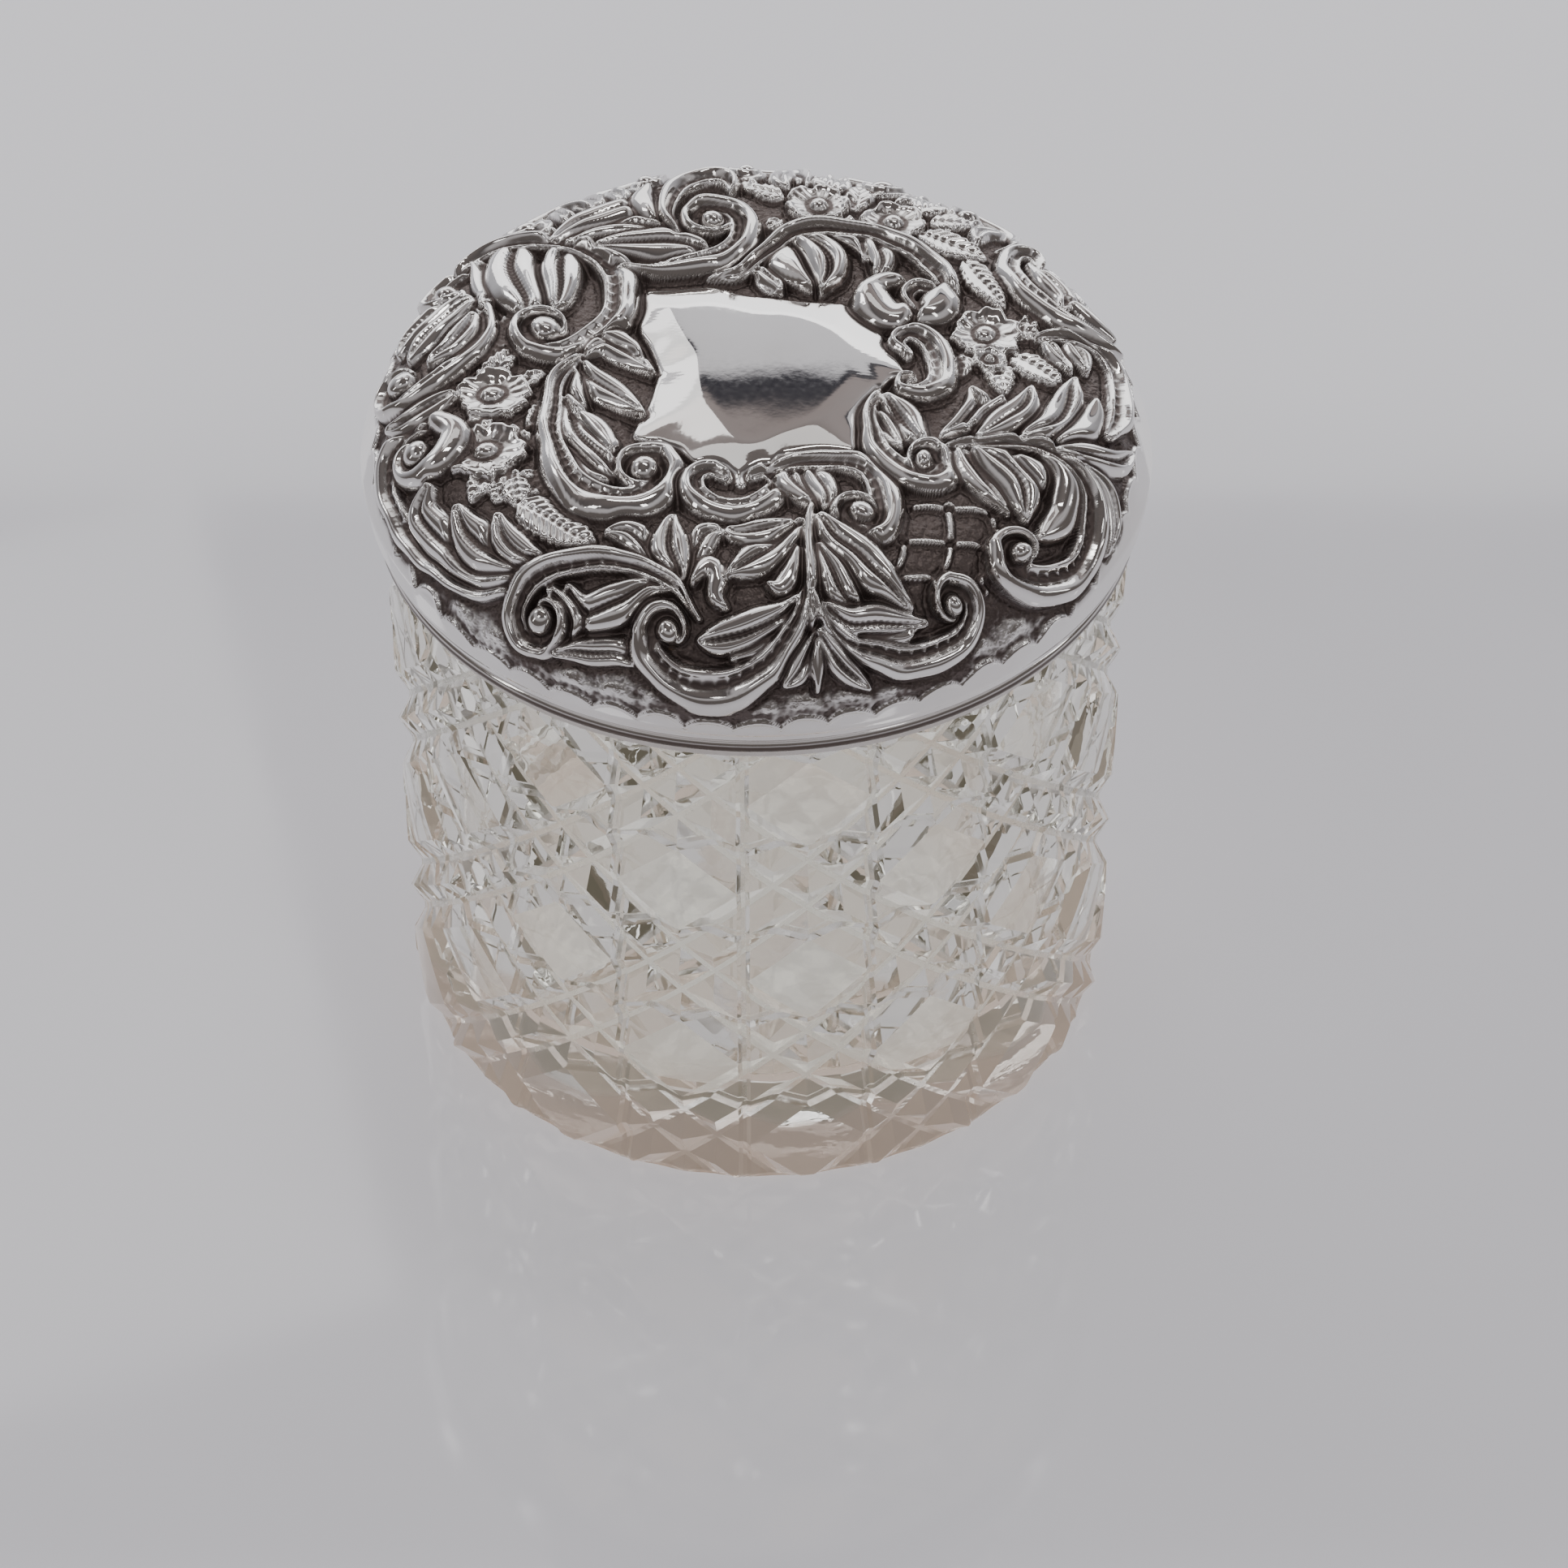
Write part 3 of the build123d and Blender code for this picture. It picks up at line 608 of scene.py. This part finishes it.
def turned(points, turn, reach, mirror=1):
    """Moves (tangent, radial, width) rows out to a reach and round the lid."""
    c, s = math.cos(math.radians(turn)), math.sin(math.radians(turn))
    rows = []
    for t, r, w in points:
        t *= mirror
        rows.append(((reach + r) * c - t * s, (reach + r) * s + t * c, w))
    return rows


# The side of the stamping away from the front: a run of C-scrolls with leaves between them,
# every other one mirrored.
BACK_REACH = 36.6
BACK_TURNS = [(49, -1), (70, 1), (90, -1), (111, 1), (132, -1)]
BACK_SCROLL = [(5.6, -4.6, .3), (6.0, -1.6, .8), (4.6, 1.4, 1.2), (1.6, 2.8, 1.5), (-1.8, 2.2, 1.5),
               (-3.6, -0.4, 1.3), (-2.4, -2.6, 1.1)]
BACK_LEAVES = [[(3.6, -5.4, .4), (2.6, -3.0, 1.4), (3.2, -0.6, 1.1), (2.6, 0.8, .3)],
               [(6.8, -4.2, .3), (7.6, -1.4, 1.3), (7.4, 1.6, 1.2), (6.2, 4.2, .3)],
               [(-4.4, -4.8, .4), (-5.4, -2.2, 1.3), (-6.0, 0.6, 1.2), (-5.4, 3.4, .3)],
               [(0.6, -6.6, .4), (-0.8, -4.8, 1.2), (-1.0, -2.6, .4)]]
BACK_EYE = [(-1.2, -0.4, 0)]


def back_ornament(plan):
    for turn, mirror in BACK_TURNS:
        for points in BACK_LEAVES:
            plan.stroke(turned(points, turn, BACK_REACH, mirror), 1.15, lobe)
        path = turned(BACK_SCROLL, turn, BACK_REACH, mirror)
        eye = turned(BACK_EYE, turn, BACK_REACH, mirror)[0][:2]
        plan.stroke(path, 1.35, scroll, side=mirror, eye=eye, turns=.8)


def flower(plan, x, y, r, petals, turn, high=1.1):
    """Open flower: rolled petals round a ridged eye."""
    where, X, Y = plan.window(x - r * 1.4, x + r * 1.4, y - r * 1.4, y + r * 1.4)
    q = np.hypot(X - x, Y - y)
    a = np.arctan2(Y - y, X - x) - math.radians(turn)
    wave = np.abs(np.cos(petals * a / 2))
    edge = r * (0.82 + 0.16 * wave**0.6 + 0.035 * np.sin(11 * a + x) + 0.03 * np.sin(17 * a + y))
    rolled = q / edge
    roll = np.interp(rolled, [0, .3, .38, .48, .72, .86, .94, 1], [.5, .5, .34, .42, .66, 1.0, .95, .3])
    gap = 1 - wave**0.5
    height = high * (roll - 0.38 * gap * smooth((rolled - .36) / .3))
    height -= high * 0.06 * np.cos(a * petals * 3) * smooth((rolled - .34) / .2) * (rolled < .82)
    plan.lay(where, edge - q, height, 0.5)
    plan.dome(x, y, r * 0.27, high * 0.95)


VEIN_PITCH = 1.0          # of a serrated leaf's teeth and veins


def veined_leaf(plan, x0, y0, x1, y1, w, high=0.95):
    """Leaf with a saw edge, a sunk midrib and slanting veins."""
    pad = w + 1
    where, X, Y = plan.window(min(x0, x1) - pad, max(x0, x1) + pad,
                              min(y0, y1) - pad, max(y0, y1) + pad)
    length = math.hypot(x1 - x0, y1 - y0)
    ux, uy = (x1 - x0) / length, (y1 - y0) / length
    t = ((X - x0) * ux + (Y - y0) * uy) / length
    d = (Y - y0) * ux - (X - x0) * uy
    half = w / 2 * np.clip(np.sin(np.pi * np.clip(t, 0, 1) ** 0.8), 0, 1) ** 0.75
    tooth = np.abs((t * length / VEIN_PITCH) % 1 - 0.5) * 2
    half = half * (0.84 + 0.16 * tooth)
    side = np.abs(d)
    vein = np.cos(2 * np.pi * (t * length - side * 0.9) / VEIN_PITCH)
    height = high * (0.72 + 0.13 * vein - 0.3 * np.exp(-(side / 0.16) ** 2)
                     + 0.2 * side / max(w / 2, 0.1))
    inside = np.minimum(half - side, np.minimum(t, 1 - t) * length)
    plan.lay(where, inside, height, 0.4)


STRUCK = 1.3              # how much higher the strokes are struck than the table says


def ornament(plan):
    """Everything that stands on the ground and isn't the shield or the trellis."""
    back_ornament(plan)
    for row in LEAVES:
        veined_leaf(plan, *row)
    for row in FLOWERS:
        flower(plan, *row)
    for (shape, fullness), high, side, points, *eye in STROKES:
        volute = dict(eye=eye[0][:2], turns=eye[0][2]) if eye else {}
        full = [(x, y, w * fullness) for x, y, w in points]
        plan.stroke(full, high * STRUCK, shape, side, **volute)


SOFTENING = 0.13          # blur of the finished stamping
UNEVEN = 0.07             # how much the raised forms vary in height
DRIFT = 0.16              # how far the chasing strays sideways
SWAY = 1.5                # how far apart these irregularities lie


def stamping(rng):
    """The finished plan, and the sideways drift that keeps the chasing from looking ruled."""
    plan = Plan()
    ground(plan, rng)
    shield(plan)
    lattice(plan)
    ornament(plan)
    plan.h = blur(plan.h, SOFTENING)
    sway = [blur(rng.standard_normal(plan.h.shape), SWAY) for _ in range(3)]
    sway = [f / f.std() for f in sway]
    raised = smooth((plan.h - 0.45) / 0.6) * (1 - plan.plain)
    plan.h *= 1 + UNEVEN * sway[0] * raised
    return plan, DRIFT * np.array(sway[1:])


FILM = 0.10               # oxide over the whole pattern
RAISED_FILM = 0.11        # and as much again on the raised forms
IN_HOLLOWS = 2.0          # for each mm below the neighbourhood
ON_GROUND = 0.76
IN_GRAIN = 0.08           # more or less of it with the grain of the ground
IN_TRELLIS = 0.5
RUBBED = 0.72             # share that is worn off the ground near the rim


def finish_maps(plan):
    """Maps of the oxide and of the matt ground, worked out from the heights."""
    struck = 1 - plan.plain
    X, Y = np.meshgrid(plan.axis, plan.axis)
    enclosed = smooth(blur(plan.h, 2.2) / 0.95)
    sunk = smooth((0.42 - plan.h) / 0.34) * (0.62 + 0.38 * enclosed)
    sunk *= 1 - RUBBED * smooth((np.hypot(X, Y) - 38) / 6)
    hollow = np.clip(blur(plan.h, 1.3) - plan.h - 0.05, 0, None)
    hollow += np.clip(blur(plan.h, 0.4) - plan.h, 0, None)
    well = smooth((12.6 - np.hypot(X - LATTICE_MIDDLE[0], Y - LATTICE_MIDDLE[1])) / 5)
    oxide = struck * (FILM + RAISED_FILM * smooth((plan.h - 0.2) / 0.6)) + IN_HOLLOWS * hollow
    oxide += sunk * (ON_GROUND + IN_GRAIN * plan.matt)
    oxide += IN_TRELLIS * well * smooth((0.3 - plan.h) / 0.2)
    matt = smooth((0.40 - plan.h) / 0.25) * struck
    return {"oxide": np.clip(oxide, 0, 1), "matt": matt}


# --- Lid --------------------------------------------------------------------------------------

LID_R = 41.0
SPRING_Z = 71.9           # where the dome springs from the upright edge
RISE = 10.16              # height of the dome
FALL = 10.63              # how late it turns down towards the edge
FOOT_R, FOOT_Z = 40.4, 67.2
SHEET = 0.6               # thickness
BACK_RINGS = (0.0, 2.4, 4.7, 5.6, 6.8, 8.2, 10.0, 12.5, 16.0, 22.0, 32.0, 42.0)  # mm from the foot
BACK_FINISH = 0.3         # oxide and mattness of the back


def lid_section():
    """Outline of the plain lid, top middle to foot: radius, level, outward normal, length."""
    dome_r = np.linspace(0, LID_R, 2000)
    edge_r = np.linspace(LID_R, FOOT_R, 80)[1:]
    r = np.r_[dome_r, edge_r]
    z = np.r_[SPRING_Z + RISE * (1 - (dome_r / LID_R) ** FALL),
              SPRING_Z + (FOOT_Z - SPRING_Z) * (LID_R - edge_r) / (LID_R - FOOT_R)]
    length = np.r_[0, np.cumsum(np.hypot(np.diff(r), np.diff(z)))]
    return r, z, np.gradient(-z, length), np.gradient(r, length), length


def make_lid(plan, finish, wander, n=620):
    """Bends the developed plan over the lid, and gives the sheet a thickness and a back.

    finish holds maps of the plan that become attributes of the mesh, by name, and
    wander is a small sideways drift, in mm, that keeps the chasing from looking ruled.
    """
    r, z, out_r, out_z, length = lid_section()
    # A square grid pressed out to a disc keeps the mesh even, with no seam or pole.
    a, b = np.meshgrid(np.linspace(-1, 1, n), np.linspace(-1, 1, n))
    wide = np.abs(a) > np.abs(b)
    safe_a, safe_b = np.where(wide, a, 1), np.where(wide | (b == 0), 1, b)
    turn = np.where(wide, np.pi / 4 * b / safe_a, np.pi / 2 - np.pi / 4 * a / safe_b)
    turn = turn + np.where(np.where(wide, a, b) < 0, np.pi, 0)
    rho = np.maximum(np.abs(a), np.abs(b)) * length[-1]
    across = (rho * np.cos(turn) - plan.axis[0]) / PITCH
    up = (rho * np.sin(turn) - plan.axis[0]) / PITCH
    i, j = across.astype(int), up.astype(int)
    across, up = across + wander[0][j, i] / PITCH, up + wander[1][j, i] / PITCH
    i, j = across.astype(int), up.astype(int)
    ti, tj = across - i, up - j

    def sample(f):
        return ((f[j, i] * (1 - ti) + f[j, i + 1] * ti) * (1 - tj)
                + (f[j + 1, i] * (1 - ti) + f[j + 1, i + 1] * ti) * tj)

    def skin(lift):
        radius = np.interp(rho, length, r) + lift * np.interp(rho, length, out_r)
        level = np.interp(rho, length, z) + lift * np.interp(rho, length, out_z)
        return np.stack([radius * np.cos(turn), radius * np.sin(turn), level], -1)

    fade = smooth((length[-1] - rho) / 2.0)
    face = skin(sample(plan.h) * fade)
    index = np.arange(n * n).reshape(n, n)
    quads = np.stack([index[:-1, :-1], index[:-1, 1:], index[1:, 1:], index[1:, :-1]], -1)
    rim = np.r_[index[0, :-1], index[:-1, -1], index[-1, :0:-1], index[:0:-1, 0]]
    # The back of the sheet: coarse, plain, and joined to the face round the foot.
    rings = [face.reshape(-1, 3)[rim]]
    rim_turn = turn.ravel()[rim]
    for up_from_foot in BACK_RINGS:
        d = length[-1] - up_from_foot
        inner_r = np.interp(d, length, r) - SHEET * np.interp(d, length, out_r)
        inner_z = np.interp(d, length, z) - SHEET * np.interp(d, length, out_z)
        rings.append(np.stack([inner_r * np.cos(rim_turn), inner_r * np.sin(rim_turn),
                               np.full(len(rim), inner_z)], -1))
    points = np.concatenate([face.reshape(-1, 3)] + rings[1:] + [[[0, 0, z[0] - SHEET]]])
    loops = [rim] + [n * n + k * len(rim) + np.arange(len(rim)) for k in range(len(rings) - 1)]
    back = [np.stack([p, q, np.roll(q, -1), np.roll(p, -1)], -1)
            for p, q in zip(loops[:-1], loops[1:])]
    fan = np.stack([loops[-1], np.full(len(rim), len(points) - 1), np.roll(loops[-1], -1)], -1)
    thing = make_object("lid_stamping", points * MM, [quads.reshape(-1, 4)] + back + [fan])
    for name, values in finish.items():
        plain_back = np.full(len(points) - n * n, BACK_FINISH)
        add_values(thing, name, np.r_[sample(values).ravel(), plain_back])
    return thing


# --- Cut glass --------------------------------------------------------------------------------

COLUMNS = 18
ROWS = 5
ROW = 12.7                # height of a cell of the cutting
CELL = 13.25              # about its mean width and height, which sets the depth of the cuts
STEPS = 60                # mesh steps to one cell
DOUBLE = 16               # the paired diagonal mitres lie this many steps off the diagonal
CUT_SLOPE = 0.62
CUT_TURN = -2.06          # degrees from the front to the first upright mitre
UPRIGHT, LEVEL = 0.30, 0.42    # depth of the fine lines between cells
WALL_R, WALL_FLARE = 39.1, 0.3
FOOT_TOP = 10.3           # the foot's milkiness, painted glow and painted pinkish reflection end here
CREASE_DEG = 14           # facets that meet at more than this have a sharp edge
# Rings of the underside: radius in mm, and how milky the glass is there and how much painted glow and
# painted pinkish reflection it gets.
UNDERSIDE = ((0.5, 0.0), (12.0, 0.0), (22.0, 0.30), (31.0, 0.9), (36.0, 1.0), (37.6, 1.0))
# Above the cutting: radius and height, the neck's heights counted from the rim.
SHOULDER = ((38.9, 64.2), (36.4, 64.2))
NECK = ((36.4, -0.4), (36.0, 0.0), (33.5, 0.0), (33.0, -0.5))
BORE = ((33.0, 55.0), (33.0, 40.0), (33.0, 25.0), (33.0, 12.5), (32.6, 11.0), (31.5, 9.9),
        (30.0, 9.5), (15.0, 9.45), (0.3, 9.4))


def off(value, period):
    """Distance to the nearest multiple of the period."""
    return np.abs((value + period / 2) % period - period / 2)


def cutting(i, j):
    """Depth of the cutting in mm, and 1 at the bottom of a cut, at steps i round and j up.

    All the main creases lie on whole steps, so they fall on edges of the mesh.
    """
    step = CELL / STEPS
    ci, cj = i - STEPS / 2, j - STEPS / 2        # from the middle of the first button
    depth = np.zeros(np.broadcast(i, j).shape)
    frost = np.zeros_like(depth)
    for diagonal in (ci + cj, ci - cj):
        for side in (-DOUBLE, DOUBLE):
            d = off(diagonal - STEPS - side, 2 * STEPS) / math.sqrt(2)
            cut = (DOUBLE / math.sqrt(2) - np.maximum(d, math.sqrt(2))) * step * CUT_SLOPE
            frost = np.where((d < 1.6) & (cut > depth), 1, np.where(cut > depth, 0, frost))
            depth = np.maximum(depth, cut)
    for d, deep in ((off(i, STEPS) + 0 * j, UPRIGHT), (off(j, STEPS) + 0 * i, LEVEL)):
        depth = depth + deep * np.clip((3 - d) / 2, 0, 1)
        frost = np.where(d < 1.1, 1, frost)
    return depth, frost


def make_glass():
    """The drum as one closed skin: underside, cut wall, shoulder, neck, bore and floor."""
    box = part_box("glass_jar")
    top = box[1][2] / MM
    around = COLUMNS * STEPS
    i = np.arange(around)
    angle = np.radians(CUT_TURN - 90) + 2 * np.pi * i / around
    rings = [(np.full(around, r), np.zeros(around)) for r, _ in UNDERSIDE]
    frost, foot = [], []
    for j in np.arange(0, ROWS * STEPS + 1):
        z = j / STEPS * ROW
        depth, bed = cutting(i, np.full(around, j))
        # The cuts run out in the rounded lower edge.
        full = smooth((z + 0.2) / 1.5)
        depth = depth * full + (1.0 + 0.5 * (j == 0)) * (1 - full)
        frost.append(bed)
        # The foot mask: here the glass is milkier and gets a painted glow and a painted pinkish reflection.
        foot.append(np.full(around, smooth((FOOT_TOP - z) / 1.2)))
        r = WALL_R + WALL_FLARE * z / (ROWS * ROW)
        rings.append((r - depth, np.full(around, z + (0.0 if j else 0.35))))
    for r, z in (*SHOULDER, *((r, top + below) for r, below in NECK), *BORE):
        rings.append((np.full(around, r), np.full(around, z)))
    radii = np.array([a for a, _ in rings])
    levels = np.array([b for _, b in rings])
    points = np.stack([radii * np.cos(angle), radii * np.sin(angle), levels], -1) * MM
    count = len(rings)
    index = np.arange(count * around).reshape(count, around)
    a, b = index[:-1], index[1:]
    a2, b2 = np.roll(a, -1, 1), np.roll(b, -1, 1)
    # Triangles meet in stars at every other point, so all four directions of cutting are edges.
    even = ((np.arange(count - 1)[:, None] - len(UNDERSIDE) + i[None, :]) % 2 == 0)
    one = np.where(even[..., None], np.stack([a, a2, b2], -1), np.stack([a, a2, b], -1))
    two = np.where(even[..., None], np.stack([a, b2, b], -1), np.stack([a2, b2, b], -1))
    faces = np.concatenate([one.reshape(-1, 3), two.reshape(-1, 3)])
    points = points.reshape(-1, 3)
    caps = []
    for ring, flip in ((0, True), (count - 1, False)):
        middle = len(points)
        points = np.vstack([points, points[index[ring]].mean(0)])
        loop = index[ring]
        fan = np.stack([loop, np.roll(loop, -1), np.full(around, middle)], -1)
        caps.append(fan[:, ::-1] if flip else fan)
    thing = make_object("glass_body", points, [faces] + caps, CREASE_DEG)
    milky_and_painted_light = np.repeat([m for _, m in UNDERSIDE], around)
    above = np.zeros(len(points) - len(milky_and_painted_light) - around * len(frost))
    add_values(thing, "frost", np.r_[0 * milky_and_painted_light, np.concatenate(frost), above])
    add_values(thing, "foot", np.r_[milky_and_painted_light, np.concatenate(foot), above])
    return thing


# --- The pieces and their finishes --------------------------------------------------------------

def crystal():
    """Polished lead crystal, frosted along the bottoms of the cuts, clear to shadow rays, with a painted
    glow.
    """
    s = Shader("cut_crystal")
    # In the foot, light is painted in: a pinkish painted reflection, a stronger painted glow and less
    # clearness, and its cuts hardly show.
    foot_painted_light = s.attribute("foot")
    worn = s.span(s.noise(700.0, 3.0), 0.3, 0.6, 0.45, 0.9)
    frost = s.math("MULTIPLY", s.attribute("frost"), worn)
    frost = s.math("MULTIPLY", frost, s.span(foot_painted_light, 0.0, 1.0, 1.0, 0.05))
    rough = s.math("ADD", s.span(s.noise(220.0, 3.0), 0.35, 0.7, 0.003, 0.015),
                   s.math("MULTIPLY", frost, 0.30))
    colour = s.mix(frost, (0.905, 0.903, 0.865, 1), (0.84, 0.845, 0.80, 1))
    # Painted reflection: the foot's colour turns pinkish.
    colour = s.mix(foot_painted_light, colour, (0.74, 0.635, 0.545, 1))
    normal = s.bump(s.noise(260.0, 2.0), FINEST)
    # Painted glow: the glass glows faintly all over, and more in the foot.
    glow = s.mix(foot_painted_light, (0.018, 0.016, 0.012, 1), (0.05, 0.038, 0.031, 1))
    clear_share = s.span(foot_painted_light, 0.0, 1.0, 1.0, 0.6)
    glass = s.principled({"Base Color": colour, "Roughness": rough, "IOR": 1.54,
                          "Transmission Weight": clear_share, "Normal": normal,
                          "Emission Color": glow, "Emission Strength": 1.0})
    clear = s.node("BsdfTransparent", {"Color": (0.93, 0.925, 0.91, 1)})
    shadow = s.node("LightPath").outputs["Is Shadow Ray"]
    return s.finish(s.node("MixShader", {0: shadow, 1: glass.outputs[0], 2: clear.outputs[0]}))


def stamped():
    """Silver that is bright where it has been rubbed and oxidised brown-black in the hollows."""
    s = Shader("stamped_silver")
    oxide = s.attribute("oxide")
    cloud = s.noise(130.0, 4.0)
    dirt = s.math("ADD", oxide, s.span(cloud, 0.3, 0.75, -0.06, 0.10))
    dark = s.span(dirt, 0.12, 0.85, 0.0, 1.0, smooth=True)
    bright = s.mix(s.span(s.noise(60.0, 3.0), 0.35, 0.7), grey(0.90, 0.015), grey(0.80, 0.03))
    colour = s.mix(dark, bright, (0.135, 0.108, 0.100, 1))
    matt = s.attribute("matt")
    scuffs = s.span(s.noise(1400.0, 2.0), 0.3, 0.7, 0, 0.03)
    roughness = s.math("ADD", s.span(dark, 0.0, 1.0, 0.03, 0.4), scuffs)
    roughness = s.math("MAXIMUM", roughness, s.math("MULTIPLY", matt, 0.36))
    metal = s.span(dark, 0.3, 1.0, 1.0, 0.75)
    stipple = s.math("MULTIPLY", matt, s.math("MULTIPLY", s.noise(2200.0, 1.0), 60.0))
    normal = s.bump(s.math("ADD", s.noise(700.0, 3.0), stipple), 0.000003)
    return s.finish(s.principled({"Base Color": colour, "Metallic": metal,
                                  "Roughness": roughness, "Normal": normal}))


def plaster_of_paris():
    s = Shader("plaster")
    colour = s.mix(s.noise(500.0), grey(0.72, 0.05), grey(0.62, 0.08))
    return s.finish(s.principled({"Base Color": colour, "Roughness": 0.85,
                                  "Normal": s.bump(s.noise(900.0), 0.00005)}))


plan, drift = stamping(np.random.default_rng(5))
lid = make_lid(plan, finish_maps(plan), drift)
lid.data.materials.append(stamped())
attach(lid, "lid")
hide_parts("lid_cover")

glass = make_glass()
glass.data.materials.append(crystal())
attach(glass, "jar")
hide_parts("glass_jar")

polished = silver("polished_silver", 0.84, 0.12)
# The bead wire is painted dark as shade below 66.4 mm.
bead = silver("bead_silver", 0.88, 0.10, under=0.0664)
dull = silver("dull_silver", 0.60, 0.30, 0.05)
gilt = silver("silver_gilt", 0.86, 0.34, 0.14)
plaster = plaster_of_paris()
for node, finish in (("collar_skirt", dull), ("collar_wire", bead), ("lid_ring", polished),
                     ("collar_bezel", gilt), ("lid_sleeve", gilt), ("lid_liner", gilt),
                     ("collar_cement", plaster)):
    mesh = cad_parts[node].data
    mesh.materials.clear()
    mesh.materials.append(finish)


# --- Studio -----------------------------------------------------------------------------------

def area_light(name, place, target, size, power):
    data = bpy.data.lights.new(name, "AREA")
    data.shape = "RECTANGLE"
    data.size, data.size_y = size
    data.energy = power
    light = bpy.data.objects.new(name, data)
    scene.collection.objects.link(light)
    light.location = place
    light.rotation_euler = (Vector(target) - Vector(place)).to_track_quat("-Z", "Y").to_euler()


def make_floor():
    half, drop = 3.0, -0.00015
    mesh = bpy.data.meshes.new("floor")
    corners = [(-half, -half, drop), (half, -half, drop), (half, half, drop), (-half, half, drop)]
    mesh.from_pydata(corners, [], [(0, 1, 2, 3)])
    floor = bpy.data.objects.new("floor", mesh)
    scene.collection.objects.link(floor)
    s = Shader("pale_floor")
    colour = s.mix(s.noise(6.0, 2.0), (0.60, 0.60, 0.635, 1), (0.63, 0.63, 0.665, 1))
    roughness = s.span(s.noise(40.0, 3.0), 0.3, 0.7, 0.05, 0.08)
    mesh.materials.append(s.finish(s.principled({
        "Base Color": colour, "Roughness": roughness, "IOR": 1.75,
        "Emission Color": (0.91, 0.89, 0.95, 1), "Emission Strength": 0.34})))


# Colours of the room by the Z of a direction: 0 at the horizon and below it, 1 straight up.
# BEHIND is beyond the jar and AHEAD is on the camera's side; they blend where Y is within BLEND.
BEHIND = ((0.0, (0.62, 0.62, 0.66)), (0.40, (0.60, 0.60, 0.64)), (0.50, (0.84, 0.83, 0.87)),
          (0.628, (0.84, 0.83, 0.87)), (0.636, (0.02, 0.02, 0.03)), (0.654, (0.03, 0.03, 0.04)),
          (0.666, (0.34, 0.29, 0.28)), (0.85, (0.27, 0.23, 0.22)), (1.0, (0.16, 0.14, 0.135)))
AHEAD = ((0.0, (0.13, 0.115, 0.11)), (0.42, (0.13, 0.115, 0.11)), (0.58, (0.46, 0.44, 0.45)),
         (0.72, (0.50, 0.48, 0.49)), (0.82, (0.10, 0.09, 0.09)), (1.0, (0.16, 0.14, 0.135)))
BLEND = (0.2, 0.8)


def make_world():
    """Room light: pale behind with a narrow dark strip, and mostly brown-grey ahead."""
    world = bpy.data.worlds.new("world")
    scene.world = world
    world.use_nodes = True
    tree = world.node_tree
    links = tree.links
    split = tree.nodes.new("ShaderNodeSeparateXYZ")
    links.new(tree.nodes.new("ShaderNodeTexCoord").outputs["Generated"], split.inputs[0])
    front = tree.nodes.new("ShaderNodeMapRange")
    for name, value in zip(("From Min", "From Max", "To Min", "To Max"), (*BLEND, 1.0, 0.0)):
        front.inputs[name].default_value = value
    links.new(split.outputs["Y"], front.inputs["Value"])
    mix = tree.nodes.new("ShaderNodeMix")
    mix.data_type = "RGBA"
    links.new(front.outputs[0], mix.inputs[0])
    for socket, rows in ((mix.inputs[6], BEHIND), (mix.inputs[7], AHEAD)):
        ramp = tree.nodes.new("ShaderNodeValToRGB")
        stops = ramp.color_ramp.elements
        for stop, (place, colour) in zip(stops, (rows[0], rows[-1])):
            stop.position, stop.color = place, (*colour, 1)
        for place, colour in rows[1:-1]:
            stops.new(place).color = (*colour, 1)
        links.new(split.outputs["Z"], ramp.inputs[0])
        links.new(ramp.outputs[0], socket)
    background = tree.nodes["Background"]
    background.inputs["Strength"].default_value = 0.9
    links.new(mix.outputs[2], background.inputs["Color"])


make_world()
make_floor()
area_light("back_panel", (0.0, 1.0, 0.45), (0, 0, 0.08), (1.7, 0.54), 4.2)
area_light("shield_left", (-0.33, 0.83, 0.88), (0, 0, 0.08), (0.34, 0.30), 0.4)
area_light("back_left", (-0.85, 0.55, 0.85), (0, 0, 0.08), (0.25, 0.3), 0.7)
area_light("overhead", (0.0, 0.52, 0.95), (0, 0, 0.08), (0.7, 0.20), 0.32)
area_light("top", (0.1, 0.22, 1.1), (0, 0, 0.08), (0.5, 0.10), 1.1)
area_light("left", (-1.0, -0.35, 0.5), (0, 0, 0.05), (0.10, 0.4), 0.45)
area_light("right", (1.0, 0.0, 0.6), (0, 0, 0.05), (0.10, 0.4), 0.45)
area_light("front_left", (-0.50, -0.42, 1.0), (0, 0, 0.08), (0.22, 0.22), 0.5)
area_light("front_right", (0.45, -0.50, 0.95), (0, 0, 0.08), (0.12, 0.30), 0.4)
